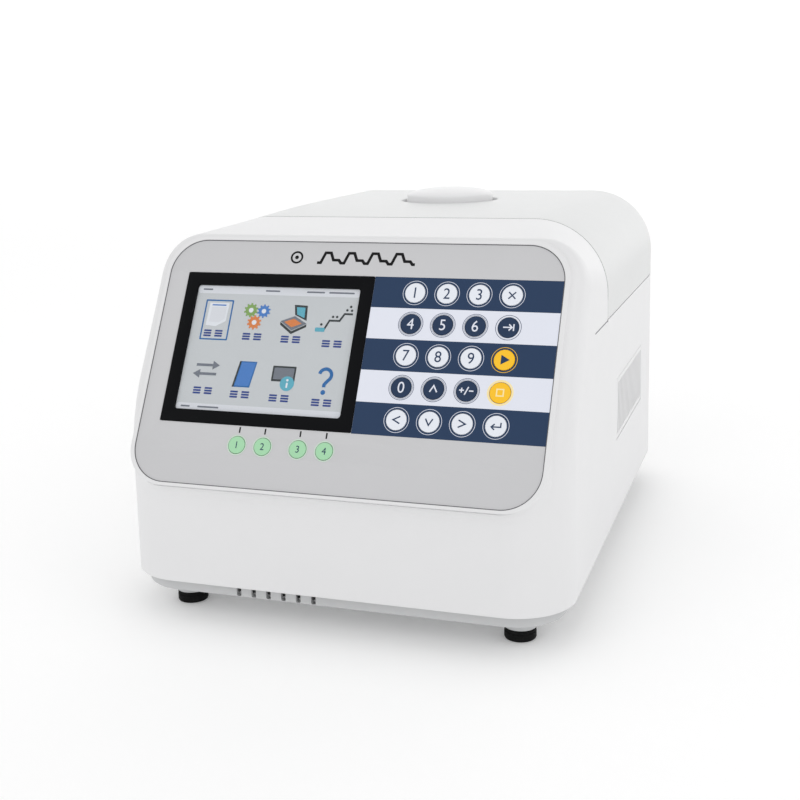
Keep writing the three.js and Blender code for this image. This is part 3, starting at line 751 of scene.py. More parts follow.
def mirrored(half: Sequence[np.ndarray]) -> np.ndarray:
    """Closes a right half that runs from one point at x = 0 to another into a whole loop."""
    left = [point * np.array([-1] + [1] * (len(point) - 1)) for point in half[-2:0:-1]]
    return np.array([*half, *left])


@dataclass
class Housing:
    """The white main housing: tilted front with its rim, chin, walls, deck and bulkhead."""

    wall: float = 2.6
    rim_half: float = 137.5
    rim_top: float = 78.5
    rim_bottom: float = -94.5
    rim_radius: float = 26.0
    pocket_half: float = 134.4
    pocket_top: float = 75.4
    pocket_bottom: float = -92.4
    pocket_depth: float = 1.9
    vent_y: Point2 = (-15.0, 115.0)
    vent_z: Point2 = (86.0, 132.0)
    door_half: float = 97.9
    door_z: Point2 = (49.0, 146.0)
    counts: tuple[int, int, int, int, int] = (36, 22, 56, 22, 36)
    rings: int = 56

    def build(self) -> None:
        """Makes the housing's pieces."""
        shell = self._shell()
        present(shell, "casing", CASING_WHITE, ["main_housing"])
        present(self._deck(), "casing", CASING_WHITE)
        present(self._bulkhead(), "casing", CASING_WHITE)
        present(self._panel_back(), "casing", CASING_WHITE)
        # painted shadow: a dark strip fills the seam's gap between housing and lid
        present(self._seam(), "casing", SEAM_PAINTED_SHADOW)

    def _rim_loop(self, half: float, top: float, bottom: float, radius: float) -> np.ndarray:
        """Returns a rim outline in the panel's own X and Y, starting at the top and turning right."""
        top_count, corner, side, low_corner, base = self.counts
        x, r = half - radius, radius
        run = [*spaced((0, top), (x, top), top_count),
               *quarter((x, top - r), (0, r), (r, 0), corner),
               *spaced((half, top - r), (half, bottom + r), side),
               *quarter((x, bottom + r), (r, 0), (0, -r), low_corner),
               *spaced((x, bottom), (0, bottom), base), np.array([0.0, bottom])]
        return mirrored(run)

    def _outer_loop(self) -> np.ndarray:
        """Returns the front patch's outer edge: seam arch, wall line, bottom edge and its mirror."""
        top_count, corner, side, low_corner, base = self.counts
        top, y = FORM.seam_top, SEAM_Y
        half = float(FORM.half_width(np.array([200.0]))[0])
        x = half - 50
        levels = self._levels()
        low = FORM.half_base
        upper = side - len(levels) + 1 - 20
        wall = [np.array([float(FORM.half_width(np.array([z]))[0]), y, z]) for z in levels[::-1]]
        run = [*spaced((0, y, top), (x, y, top), top_count),
               *quarter((x, y, top - 50), (0, 0, 50), (half - x, 0, 0), corner),
               *spaced((half, y, top - 50), wall[0], upper), *wall[:-1],
               *spaced((low, y, 27), (low, -173.5, 27), 20),
               *quarter((low - 39, -173.5, 27), (39, 0, 0), (0, -39, 0), low_corner),
               *spaced((low - 39, -212.5, 27), (0, -212.5, 27), base), np.array([0.0, -212.5, 27.0])]
        return mirrored(run)

    def _levels(self) -> list[float]:
        """Returns the heights of the wall's rows of points."""
        marks = [27, 49, 86, 132, 146, DECK_Z]
        levels: list[float] = []
        for low, high in zip(marks, marks[1:]):
            steps = max(round((high - low) / 6.5), 2)
            levels += [low + (high - low) * step / steps for step in range(steps)]
        return [*levels, DECK_Z]

    def _shell(self) -> bpy.types.Object:
        """Returns the outer shell, rim and pocket wall included."""
        draft = Draft()
        rim = self._rim_loop(self.rim_half, self.rim_top, self.rim_bottom, self.rim_radius)
        rows = [self._raised(self._rim_loop(self.pocket_half, self.pocket_top, self.pocket_bottom, 24.4),
                             depth)
                for depth in (self.pocket_depth + 0.8, self.pocket_depth, 1.0, 0.3)]
        rows.append(self._raised(self._rim_loop(134.7, 75.7, -92.7, 24.7), 0.0))
        rows.append(self._raised(self._rim_loop(135.6, 76.6, -93.05, 25.2), 0.0))
        for turn in (0, 22.5, 45, 67.5, 90):
            inset = 1.2 * (1 - math.sin(math.radians(turn)))
            edge = self._rim_loop(self.rim_half - inset, self.rim_top - inset, self.rim_bottom + inset,
                                  self.rim_radius - inset)
            rows.append(self._raised(edge, 1.2 * (1 - math.cos(math.radians(turn)))))
        outer = self._outer_loop()
        meet = self._meeting_depth(rim)
        fillet = np.clip(0.8 * (meet - 1.25), 0.3, 5.2)
        foot = self._raised(rim, meet)
        start = self._raised(rim, meet - fillet)
        onward = outer - foot
        onward /= np.linalg.norm(onward, axis=1, keepdims=True)
        away = self._on_form(foot + onward * (fillet * 1.1)[:, None])
        for share in np.linspace(0, 1, 7):
            rows.append(start * (1 - share) ** 2 + foot * (2 * share * (1 - share)) + away * share ** 2)
        for step in range(1, self.rings):
            share = (step / self.rings) ** 1.35
            rows.append(self._on_form(away + (outer - away) * share))
        rows.append(outer)
        draft.skin([[tuple(point) for point in row] for row in rows], closed=True)
        draft.skin(self._rear_rows(), closed=False, keep=self._is_wall)
        shell = draft.object("housing_shell")
        wall = shell.modifiers.new("wall", "SOLIDIFY")
        wall.thickness = self.wall * MM
        wall.offset = -1
        wall.use_even_offset = False
        return soften(shell, 0.45, 2, 62)

    @staticmethod
    def _raised(loop: np.ndarray, depth: np.ndarray | float) -> np.ndarray:
        """Places a panel outline at a depth below the panel's face."""
        flat = np.column_stack([loop, -np.broadcast_to(depth, len(loop)), np.ones(len(loop))])
        return (flat @ np.array(PANEL_PLACE).T)[:, :3]

    def _meeting_depth(self, rim: np.ndarray) -> np.ndarray:
        """Returns the depth at which the rim's outer wall meets the housing."""
        near, far = np.full(len(rim), 1.3), np.full(len(rim), 30.0)
        for _ in range(40):
            middle = (near + far) / 2
            inside = FORM.housing(self._raised(rim, middle)) < 0
            near, far = np.where(inside, near, middle), np.where(inside, middle, far)
        return far

    @staticmethod
    def _on_form(p: np.ndarray) -> np.ndarray:
        """Moves points onto the housing's form."""
        centre = np.column_stack([np.zeros(len(p)), np.maximum(p[:, 1], -100), np.minimum(p[:, 2], 120)])
        return FORM.project(FORM.housing, p, centre)

    def _rear_rows(self) -> list[list[tuple[float, float, float]]]:
        """Returns rows of points round the rear, from the right seam to the left one."""
        sides = [*spaced([SEAM_Y], [self.vent_y[0]], 6), *spaced([self.vent_y[0]], [self.vent_y[1]], 20),
                 *spaced([self.vent_y[1]], [167.5], 8)]
        rears = spaced([self.door_half], [-self.door_half], 32)
        rows = []
        for z in self._levels():
            half = float(FORM.half_width(np.array([z]))[0])
            right = [np.array([half, float(y[0])]) for y in sides]
            corner = [*quarter((half - 49, 167.5), (49, 0), (0, 45), 18), np.array([half - 49, 212.5])]
            back = [np.array([float(x[0]), 212.5]) for x in rears]
            left = [point * np.array([-1, 1]) for point in [*right, *corner][::-1]]
            ring = [*right, *corner, *back, np.array([-self.door_half, 212.5]), *left]
            rows.append([(float(x), float(y), z) for x, y in ring])
        return rows

    def _is_wall(self, middle: Vector) -> bool:
        """Tells whether a face of the rear rows is wall, and not vent or rear door."""
        vent = self.vent_y[0] < middle.y < self.vent_y[1] and self.vent_z[0] < middle.z < self.vent_z[1]
        low, high = self.door_z
        door = middle.y > 210 and abs(middle.x) < self.door_half and low < middle.z < high
        return not (vent or door)

    def _deck(self) -> bpy.types.Object:
        """Returns the deck under the lid with the sample bay's opening."""
        outline = [(-144.6, -56), (144.6, -56), *[(float(x), float(y)) for x, y in
                   [*quarter((97.2, 167.5), (47.2, 0), (0, 42.2), 12), (97.2, 209.7)]]]
        outline += [(-x, y) for x, y in outline[:1:-1]]
        bay = rounded_loop(-63, 63, 23.5, 117.5, 8)
        return settle(sheet_of("housing_deck", [outline, bay], 182, 179, 0.5))

    def _bulkhead(self) -> bpy.types.Object:
        """Returns the upright wall behind the seam."""
        arch = [(float(point[0]), float(point[2])) for point in self._outer_loop()
                if abs(point[1] - SEAM_Y) < 1e-6 and point[2] > DECK_Z - 1]
        inset = [(x * 0.979, 176 + (z - 176) * 0.965) for x, z in arch]
        place = Matrix.Translation((0, -59.6, 0)) @ Matrix.Rotation(math.pi / 2, 4, "X")
        draft = Draft()
        draft.prism(self._left_turning(inset), 0, 2.2, place)
        return soften(draft.object("housing_bulkhead"), 0.4)

    @staticmethod
    def _left_turning(loop: Loop) -> Loop:
        """Returns an arch's outline sorted from right to left along its top, then closed below."""
        right = sorted([point for point in loop if point[0] > 1e-6],
                       key=lambda point: (point[1], -point[0]))
        left = [(-x, z) for x, z in right[::-1]]
        return [*right, (0.0, max(z for _, z in loop)), *left]

    def _seam(self) -> bpy.types.Object:
        """Returns a dark strip painted as the shadow in the seam's gap: along its arch, and in the groove
        along each wall.
        """
        half = float(FORM.half_width(np.array([200.0]))[0])
        top = FORM.seam_top
        arch = mirrored([*spaced((0, top), (half - 50, top), 12),
                         *quarter((half - 50, top - 50), (0, 50), (50, 0), 24),
                         *spaced((half, top - 50), (half, DECK_Z), 6), np.array([half, DECK_Z])])
        arch = np.roll(arch, len(arch) // 2, axis=0)
        middle = np.array([0.0, 200.0])
        draft = Draft()
        stations = []
        for point in arch:
            if point[1] < DECK_Z - 1:
                continue
            inward = (middle - point) / np.linalg.norm(middle - point)
            low, high = point + inward * 0.7, point - inward * 0.05
            y0, y1 = SEAM_Y - 0.45, SEAM_Y + 0.25
            stations.append([(low[0], y0, low[1]), (high[0], y0, high[1]), (high[0], y1, high[1]),
                             (low[0], y1, low[1])])
        draft.skin(stations, closed=True, flip=True)
        draft.add(stations[0], [[3, 2, 1, 0]])
        draft.add(stations[-1], [[0, 1, 2, 3]])
        wall = float(FORM.half_width(np.array([DECK_Z]))[0])
        for side in (-1, 1):
            inner, outer = sorted((side * (wall - 0.6), side * (wall + 0.05)))
            draft.box((inner, SEAM_Y - 50, DECK_Z - 0.5), (outer, SEAM_Y + 0.2, DECK_Z + 0.3))
            turn = Matrix.Translation((side * wall, SEAM_Y, DECK_Z)) @ Matrix.Rotation(side * math.pi / 2,
                                                                                       4, "Y")
            draft.lathe([(0, -0.6), (1.2, -0.6), (1.2, 0.08), (0, 0.08)], 20, turn)
        return settle(draft.object("seam_line"))

    def _panel_back(self) -> bpy.types.Object:
        """Returns the plate behind the overlay that carries the display and the keys."""
        loops = [rounded_loop(-135.4, 135.4, -93.4, 76.4, 25.4), rounded_loop(-117, 9, -48.5, 48.5, 2),
                 rounded_loop(30, 113.2, -52.2, 51.9, 4), rounded_loop(-72, 6, -73.5, -56, 4)]
        return settle(placed(sheet_of("panel_back", loops, -1.95, -4.6), PANEL_PLACE))


@dataclass
class Lid:
    """The white lid shell with the knob's recess."""

    front_y: float = -57.9
    bottom_z: float = 182.9
    wall: float = 2.6
    recess: float = 38.6
    floor_z: float = 249.0
    knob_y: float = 70.5
    rings: int = 54

    def build(self) -> None:
        """Makes the lid's pieces."""
        present(self._shell(), "lid", LID_WHITE, ["lid_shell"])
        present(self._front_wall(), "lid", LID_WHITE)
        present(self._recess(), "lid", LID_WHITE)

    def _edge(self) -> np.ndarray:
        """Returns the lid's lower and front edge as one loop that starts at the front's middle."""
        half = float(FORM.half_width(np.array([200.0]))[0])
        y, z = self.front_y, self.bottom_z
        low = float(FORM.half_width(np.array([z]))[0])
        top = FORM.lid_top - 2.5 * ((FORM.crown_y - y) / 128.5) ** 2
        run = [*spaced((0, y, top), (half - 50, y, top), 36),
               *quarter((half - 50, y, top - 50), (0, 0, 50), (50, 0, 0), 30),
               *spaced((half, y, top - 50), (low, y, z), 8),
               *spaced((low, y, z), (low, 167.5, z), 60),
               *quarter((low - 50, 167.5, z), (50, 0, 0), (0, 45, 0), 26),
               *spaced((low - 50, 212.5, z), (0, 212.5, z), 30), np.array([0.0, 212.5, z])]
        return mirrored(run)

    def _shell(self) -> bpy.types.Object:
        """Returns the domed shell from the recess to the lower edge."""
        edge = self._edge()
        swing = np.arctan2(edge[:, 1] - self.knob_y, edge[:, 0] * (1 + 0.003 * (252 - edge[:, 2])))
        rows = []
        for radius, drop in ((self.recess - 0.7, 1.6), (self.recess - 0.62, 0.75),
                             (self.recess - 0.2, 0.2)):
            rows.append(np.column_stack([np.cos(swing) * radius, self.knob_y + np.sin(swing) * radius,
                                         np.full(len(edge), FORM.lid_top - drop)]))
        lip = np.column_stack([np.cos(swing) * (self.recess + 0.5),
                               self.knob_y + np.sin(swing) * (self.recess + 0.5),
                               np.full(len(edge), FORM.lid_top)])
        for step in range(self.rings):
            share = (step / self.rings) ** 0.95
            rows.append(self._on_form(lip + (edge - lip) * share))
        rows.append(edge)
        draft = Draft()
        draft.skin([[tuple(point) for point in row] for row in rows], closed=True, flip=True)
        shell = draft.object("lid_dome")
        wall = shell.modifiers.new("wall", "SOLIDIFY")
        wall.thickness = self.wall * MM
        wall.offset = -1
        return soften(shell, 0.4, 2, 62)

    @staticmethod
    def _on_form(p: np.ndarray) -> np.ndarray:
        """Moves points onto the lid's form."""
        centre = np.column_stack([np.zeros(len(p)), np.minimum(p[:, 1], 100), np.full(len(p), 190.0)])
        return FORM.project(FORM.lid, p, centre)

    def _front_wall(self) -> bpy.types.Object:
        """Returns the upright wall that closes the front of the lid."""
        arch = [(float(point[0]) * 0.981, 180 + (float(point[2]) - 180) * 0.961) for point in self._edge()
                if abs(point[1] - self.front_y) < 1e-6]
        place = Matrix.Translation((0, self.front_y + 2.5, 0)) @ Matrix.Rotation(math.pi / 2, 4, "X")
        draft = Draft()
        draft.prism(Housing._left_turning(arch), 0, 2.2, place)
        return soften(draft.object("lid_front_wall"), 0.3)

    def _recess(self) -> bpy.types.Object:
        """Returns the shallow round recess under the knob, with its bore."""
        r, z = self.recess, self.floor_z
        profile = [(7.2, z - 3), (r + 3.5, z - 3), (r + 3.5, z + 0.6), (r - 0.55, z + 1.9),
                   (r - 0.7, z + 0.8),
                   (r - 1.5, z), (8.0, z), (7.2, z - 0.6), (7.2, z - 3)]
        draft = Draft()
        draft.lathe(profile, 96, Matrix.Translation((0, self.knob_y, 0)))
        return settle(draft.object("lid_recess"))


# ---------------------------------------------------------------- casing fittings


@dataclass
class Underside:
    """The grey base pan with its slots and foot bosses, and the rubber feet."""

    half_width: float = 143.5
    front_y: float = -206.5
    rear_y: float = 206.5
    corner: float = 33.0
    bottom_z: float = 18.0
    rim_z: float = 40.0
    wall: float = 2.5
    foot_x: float = 114.7
    foot_y: float = 177.0

    def build(self) -> None:
        """Makes the pan and the feet."""
        present(self._pan(), "casing", PAN_GREY, ["base_pan"])
        for name, x, y in (("front_left", -1, -1), ("front_right", 1, -1), ("rear_left", -1, 1),
                           ("rear_right", 1, 1)):
            foot = self._foot("rubber_foot_" + name, x * self.foot_x, y * self.foot_y)
            present(foot, "casing", FOOT_RUBBER, ["foot_" + name])

    def _ring(self, inset: float, z: float) -> list[tuple[float, float, float]]:
        """Returns the pan's outline, drawn in by an inset, at a height."""
        loop = rounded_loop(-self.half_width + inset, self.half_width - inset, self.front_y + inset,
                            self.rear_y - inset, self.corner - inset, 12)
        return [(x, y, z) for x, y in loop]

    def _pan(self) -> bpy.types.Object:
        """Returns the folded tray with rounded lower edge, bosses, posts and air slots."""
        draft = Draft()
        radius = 1.8
        turns = [math.radians(degrees) for degrees in range(0, 91, 15)]
        rows = [self._ring(radius * (1 - math.sin(turn)), self.bottom_z + radius * (1 - math.cos(turn)))
                for turn in turns]
        rows.append(self._ring(0, self.rim_z))
        rows += [self._ring(self.wall, self.rim_z), self._ring(self.wall, self.bottom_z + self.wall)]
        draft.skin(rows, closed=True)
        count = len(rows[0])
        draft.add(rows[0], [list(range(count))[::-1]])
        draft.add(rows[-1], [list(range(count))])
        slots = Draft()
        for index in range(6):
            x = -64.9 + 10.4 * index
            loop = rounded_loop(x - 1.6, x + 1.6, 18.9, 29.2, 1.0, 5)
            slots.prism(loop, -self.front_y - 4, -self.front_y + 4, Matrix.Rotation(math.pi / 2, 4, "X"))
        pan = carve(draft.object("pan_tray"), slots)
        extra = Draft()
        for x in (-1, 1):
            for y in (-1, 1):
                place = Matrix.Translation((x * self.foot_x, y * self.foot_y, 0))
                extra.lathe([(0, 8), (10.2, 8), (10.8, 8.5), (12.6, 16.6), (13.4, 18.2), (0, 18.3)], 40,
                            place)
        for x, y, top in [(sx * 65.5, sy, 137.2) for sx in (-1, 1) for sy in (21, 120)] + \
                [(sx * 104, sy, 57.7) for sx in (-1, 1) for sy in (-184, -82)]:
            extra.lathe([(0, 19), (4.5, 20.4), (3.5, 22), (3.5, top - 0.5), (3, top), (0, top)], 16,
                        Matrix.Translation((x, y, 0)))
        parts = [settle(pan, 30), settle(extra.object("bosses"), 30)]
        return merged("base_tray", parts)

    @staticmethod
    def _foot(name: str, x: float, y: float) -> bpy.types.Object:
        """Returns one turned rubber foot with a recess and ribs under it."""
        profile = [(0, 0.9), (3.2, 0.9), (3.6, 0), (8.8, 0), (9.8, 0.4), (10.2, 1.3), (10.2, 5.0),
                   (9.8, 5.4),
                   (9.8, 6.0), (10.1, 6.4), (10.1, 7.4), (9.8, 7.7), (0, 7.7)]
        draft = Draft()
        draft.lathe(profile, 48, Matrix.Translation((x, y, 0)))
        return settle(draft.object(name), 28)


@dataclass
class SideVents:
    """The slatted grilles in both side walls."""

    slats: int = 18
    y0: float = -14.7
    y1: float = 114.7
    z0: float = 86.3
    z1: float = 131.7
    outer: float = 148.3

    def build(self) -> None:
        """Makes both grilles."""
        for side, name in ((1, "right"), (-1, "left")):
            present(self._grille(side, name), "casing", CASING_WHITE, ["side_grille_" + name])

    def _grille(self, side: int, name: str) -> bpy.types.Object:
        """Returns one grille: a frame with upright rounded slats."""
        pitch = (self.y1 - self.y0 - 6) / self.slats
        frame_loop = rounded_loop(self.y0, self.y1, self.z0, self.z1, 1.0, 3)
        hole = rounded_loop(self.y0 + 3, self.y1 - 3, self.z0 + 3.4, self.z1 - 3.4, 1.0, 3)
        edge = settle(sheet_of("grille_frame", [frame_loop, hole], 0, -1.9, 0.3))
        edge.data.materials.append(CASING_WHITE.material())
        slat = soften(self._slat(), 0.35, 2, 50)
        row = REPEAT.rows("grille_slats", slat, CASING_WHITE, self.slats, 1, (pitch, 0),
                          (self.y0 + 3 + pitch / 2, (self.z0 + self.z1) / 2))
        both = merged("vent_grille_" + name, [edge, row])
        turn = Matrix(((0, 0, side, side * self.outer), (side, 0, 0, 0 if side > 0 else self.y0 + self.y1),
                       (0, 1, 0, 0), (0, 0, 0, 1)))
        return placed(both, turn)

    def _slat(self) -> bpy.types.Object:
        """Returns one upright slat in the grille's flat frame."""
        draft = Draft()
        half = (self.z1 - self.z0) / 2 - 3.0
        draft.box((-1.75, -half, -1.8), (1.75, half, -0.25))
        return draft.object("slat")


@dataclass
class Knob:
    """The white pressure knob and its lead screw."""

    radius: float = 34.0
    y: float = 70.5
    floor_z: float = 249.4

    def build(self) -> None:
        """Makes the knob and the screw."""
        place = Matrix.Translation((0, self.y, 0))
        z = self.floor_z
        profile = [(0, 257.0), (5.5, 257.0), (5.5, z + 0.3), (6.0, z), (32.6, z), (33.3, z + 0.3),
                   (33.6, z + 1.0), (33.6, z + 1.9),
                   (34.0, z + 2.3), (34.0, 255.8), (33.85, 256.6), (33.3, 257.3), (32.2, 258.0),
                   (30.4, 258.7),
                   (27.5, 259.5), (23.5, 260.35), (19.0, 261.05), (14.5, 261.5), (10.0, 261.8),
                   (5.0, 261.95), (0, 262)]
        draft = Draft()
        draft.lathe(profile, 128, place)
        present(settle(draft.object("turning_knob"), 30), "knob", KNOB_WHITE, ["pressure_knob"])
        present(self._screw(place), "knob", SCREW_STEEL, ["lead_screw"])

    @staticmethod
    def _screw(place: Matrix) -> bpy.types.Object:
        """Returns the lead screw with its thread turns."""
        profile = [(0, 196.6), (4.4, 196.6), (4.9, 197.1)]
        z = 198.0
        while z < 246:
            profile += [(4.9, z), (4.2, z + 0.5), (4.2, z + 1.0), (4.9, z + 1.5)]
            z += 2.0
        profile += [(5.0, 247.0), (5.0, 256.2), (4.6, 256.6), (0, 256.6)]
        draft = Draft()
        draft.lathe(profile, 32, place)
        return settle(draft.object("press_screw"), 25)


# ---------------------------------------------------------------- control panel


class Mark(Enum):
    """What is printed on a key, as a figure or as strokes in millimetres."""

    CANCEL = (((-2.2, -2.2), (2.2, 2.2)), ((-2.2, 2.2), (2.2, -2.2)))
    NEXT = (((-3.2, 0), (2.4, 0)), ((0.4, 2.0), (2.4, 0), (0.4, -2.0)), ((3.4, 2.2), (3.4, -2.2)))
    START = (((-2.0, -3.1), (3.4, 0), (-2.0, 3.1), (-2.0, -3.1)),)
    HALT = (((-2.5, -2.5), (2.5, -2.5), (2.5, 2.5), (-2.5, 2.5), (-2.5, -2.5)),)
    UP = (((-2.3, -1.9), (0, 2.2), (2.3, -1.9)),)
    DOWN = (((-2.3, 1.9), (0, -2.2), (2.3, 1.9)),)
    LEFT = (((2.4, 2.3), (-2.0, 0), (2.4, -2.3)),)
    RIGHT = (((-2.4, 2.3), (2.0, 0), (-2.4, -2.3)),)
    SIGN = (((-4.6, 0.3), (-1.6, 0.3)), ((-3.1, 1.8), (-3.1, -1.2)), ((-1.1, -2.5), (1.1, 2.5)),
            ((1.6, 0), (4.4, 0)))
    ACCEPT = (((3.0, 2.2), (3.0, -0.6), (-2.6, -0.6)), ((-0.8, 1.2), (-2.8, -0.6), (-0.8, -2.4)))


HALT_HOLLOW = 0.66

LAYOUT: tuple[tuple[str | Mark, ...], ...] = (
    ("1", "2", "3", Mark.CANCEL),
    ("4", "5", "6", Mark.NEXT),
    ("7", "8", "9", Mark.START),
    ("0", Mark.UP, Mark.SIGN, Mark.HALT),
    (Mark.LEFT, Mark.DOWN, Mark.RIGHT, Mark.ACCEPT),
)


@dataclass
class ControlPanel:
    """The printed overlay, the display's black border and the round keys."""

    key_x: float = 40.36
    key_y: float = 41.5
    pitch: float = 20.82
    cap_radius: float = 6.5
    ring_radius: float = 8.15
    ring_width: float = 0.32
    stripe_x: Point2 = (12.15, 134.0)
    stripe_top: float = 51.9
    face: float = -0.6
    soft_y: float = -64.7
    soft_x: tuple[float, ...] = (-62.6, -44.9, -20.9, -3.2)
    soft_radius: float = 5.6

    def build(self) -> None:
        """Makes every piece of the panel."""
        present(self._overlay(), "casing", OVERLAY_GREY, ["overlay_panel"])
        self._stripes()
        self._rings()
        self._printing()
        self._bezel()
        for row, marks in enumerate(LAYOUT):
            for column, mark in enumerate(marks):
                self._key(row, column, mark)
        for index, x in enumerate(self.soft_x):
            self._soft_key(index, x)

    def _holes(self, rows: Sequence[int], radius: float) -> list[Loop]:
        """Returns the key holes of some rows."""
        return [circle(self.key_x + self.pitch * column, self.key_y - self.pitch * row, radius)
                for row in rows for column in range(4)]

    def _overlay(self) -> bpy.types.Object:
        """Returns the printed sheet with its display window and key holes."""
        loops = [rounded_loop(-134, 134, -92, 75, 24, 16), rounded_loop(-120.3, 12.3, -52, 52, 0.8, 3),
                 *self._holes(range(5), self.cap_radius + 0.3),
                 *[circle(x, self.soft_y, self.soft_radius + 0.3) for x in self.soft_x]]
        return settle(placed(sheet_of("printed_overlay", loops, self.face, self.face - 1.0, 0.12),
                             PANEL_PLACE))

    def _stripes(self) -> None:
        """Makes the five printed stripes behind the keys."""
        for row in range(5):
            top = self.stripe_top - self.pitch * row
            edge = 134 - 24 + math.sqrt(max(24 ** 2 - max(top - 51, 0) ** 2, 0)) - 0.15
            loops = [[(self.stripe_x[0] + 0.25, top - self.pitch), (133.85, top - self.pitch), (edge, top),
                      (self.stripe_x[0] + 0.25, top)], *self._holes([row], self.cap_radius + 0.3)]
            finish = INK_NAVY if row % 2 == 0 else INK_WHITE
            stripe = sheet_of(f"stripe_{row + 1}", loops, self.face + 0.05, self.face - 0.02)
            present(settle(placed(stripe, PANEL_PLACE)), "casing", finish)

    def _ring(self, radius: float, width: float) -> bpy.types.Object:
        """Returns one printed ring about the local origin."""
        loops = [circle(0, 0, radius, 56), circle(0, 0, radius - width, 56)]
        return settle(sheet_of("ring", loops, self.face + 0.09, self.face + 0.03))

    def _rings(self) -> None:
        """Makes the printed rings round the keys, set out in rows and columns."""
        sets = [("rings_on_navy", INK_WHITE, 3, 3, 0, 0), ("rings_on_white", INK_NAVY, 3, 2, 0, 1),
                ("ring_cancel", INK_WHITE, 1, 1, 3, 0), ("ring_next", INK_NAVY, 1, 1, 3, 1),
                ("ring_start", INK_YELLOW, 1, 1, 3, 2), ("ring_halt", INK_PALE_YELLOW, 1, 1, 3, 3),
                ("ring_accept", INK_WHITE, 1, 1, 3, 4)]
        for name, finish, columns, rows, column, row in sets:
            width = 1.25 if name == "ring_halt" else self.ring_width
            start = (self.key_x + self.pitch * column, self.key_y - self.pitch * row)
            spread = REPEAT.rows(name, self._ring(self.ring_radius, width), finish, columns, rows,
                                 (self.pitch, -2 * self.pitch), start)
            present(placed(spread, PANEL_PLACE), "casing", finish)
        inner = [("edges_on_white", INK_NAVY, 3, 2, 0, 1)]
        for name, finish, columns, rows, column, row in inner:
            start = (self.key_x + self.pitch * column, self.key_y - self.pitch * row)
            spread = REPEAT.rows(name, self._ring(7.35, 0.16), finish, columns, rows,
                                 (self.pitch, -2 * self.pitch), start)
            present(placed(spread, PANEL_PLACE), "casing", finish)
        for index, x in enumerate(self.soft_x):
            halo = REPEAT.rows(f"halo_{index + 1}", self._ring(6.7, 0.75), INK_PALE_GREEN, 1, 1, (0, 0),
                               (x, self.soft_y))
            present(placed(halo, PANEL_PLACE), "casing", INK_PALE_GREEN)

    def _printing(self) -> None:
        """Makes the ticks over the soft keys and a plain heating-and-cooling line as the title mark."""
        tick = settle(sheet_of("tick", [rounded_loop(-0.5, 0.5, -1.9, 1.9, 0.2, 2)], self.face + 0.05,
                               self.face - 0.02))
        for index, x in enumerate((-62.3, -44.7, -20.7, -3.2)):
            copy = link(f"tick_{index + 1}", tick.data.copy())
            present(placed(copy, PANEL_PLACE @ Matrix.Translation((x, -54.8, 0))), "casing", INK_BLACK)
        bpy.data.objects.remove(tick)
        line: Loop = [(-29.5, 60.6)]
        for cycle in range(4):
            x = -27.0 + 16.2 * cycle
            line += [(x, 60.6), (x + 2.6, 67.6), (x + 6.4, 67.6), (x + 8.6, 62.6), (x + 12.4, 62.6),
                     (x + 14.0, 60.6)]
        line.append((37.3, 60.6))
        loops = [stroke(line, 1.9)]
        drops = [circle(-44.2, 64.0, 4.4, 40), circle(-44.2, 64.0, 3.1, 40), circle(-44.2, 64.0, 1.3, 24)]
        mark = sheet_of("title_mark", [*loops, *drops], self.face + 0.05, self.face - 0.02)
        present(settle(placed(mark, PANEL_PLACE)), "casing", INK_BLACK)

    def _bezel(self) -> None:
        """Makes the black display border, a thin dark frame painted as the shadow in the gap round the
        overlay, and the clear lens.
        """
        loops = [rounded_loop(-120, 12, -51.7, 51.7, 0.8, 3),
                 rounded_loop(-111.6, 3.6, -43.2, 43.2, 2.2, 8)]
        border = sheet_of("display_border", loops, -0.3, -1.6, 0.15)
        present(settle(placed(border, PANEL_PLACE)), "casing", BEZEL_BLACK, ["display_bezel"])
        # painted shadow: a thin dark frame at the overlay's edge stands in for the shade in the gap round
        # it
        edge = sheet_of("overlay_edge", [rounded_loop(-134.4, 134.4, -92.4, 75.4, 24.4, 16),
                                         rounded_loop(-133.9, 133.9, -91.9, 74.9, 23.9, 16)], -0.45, -0.8)
        present(settle(placed(edge, PANEL_PLACE)), "casing", OVERLAY_GAP_PAINTED_SHADOW)
        pane = sheet_of("display_pane", [rounded_loop(-111.3, 3.3, -42.9, 42.9, 1.9, 8)], -0.75, -1.3, 0.1)
        present(settle(placed(pane, PANEL_PLACE)), "casing", LENS_CLEAR, ["display_lens"])

    def _cap(self, name: str, radius: float, x: float, y: float) -> bpy.types.Object:
        """Returns a key cap with a soft edge and its flange under the overlay."""
        top = self.face + 0.5
        profile = [(0, -4.4), (radius + 0.9, -4.4), (radius + 1.1, -4.2), (radius + 1.1, -2.1),
                   (radius + 0.9, -1.95), (radius, -1.95), (radius, top - 0.3), (radius - 0.08, top - 0.1),
                   (radius - 0.3, top - 0.02), (radius - 1.2, top + 0.03), (0, top + 0.06)]
        draft = Draft()
        draft.lathe(profile, 56, PANEL_PLACE @ Matrix.Translation((x, y, 0)))
        return settle(draft.object(name), 38)

    def _key(self, row: int, column: int, mark: str | Mark) -> None:
        """Makes one round key with its mark."""
        node = f"key_row{row + 1}_{column + 1}"
        pale = row % 2 == 0
        cap_finish, ink = (KEY_WHITE, INK_NAVY) if pale else (KEY_NAVY, INK_WHITE)
        if mark in (Mark.START, Mark.HALT):
            cap_finish, ink = (KEY_YELLOW, INK_NAVY) if mark is Mark.START else (KEY_YELLOW,
                                                                                 INK_PALE_YELLOW)
        x, y = self.key_x + self.pitch * column, self.key_y - self.pitch * row
        present(self._cap(f"cap_{row + 1}_{column + 1}", self.cap_radius, x, y), node, cap_finish, [node])
        self._mark(f"mark_{row + 1}_{column + 1}", mark, x, y, node, ink, 10.2)

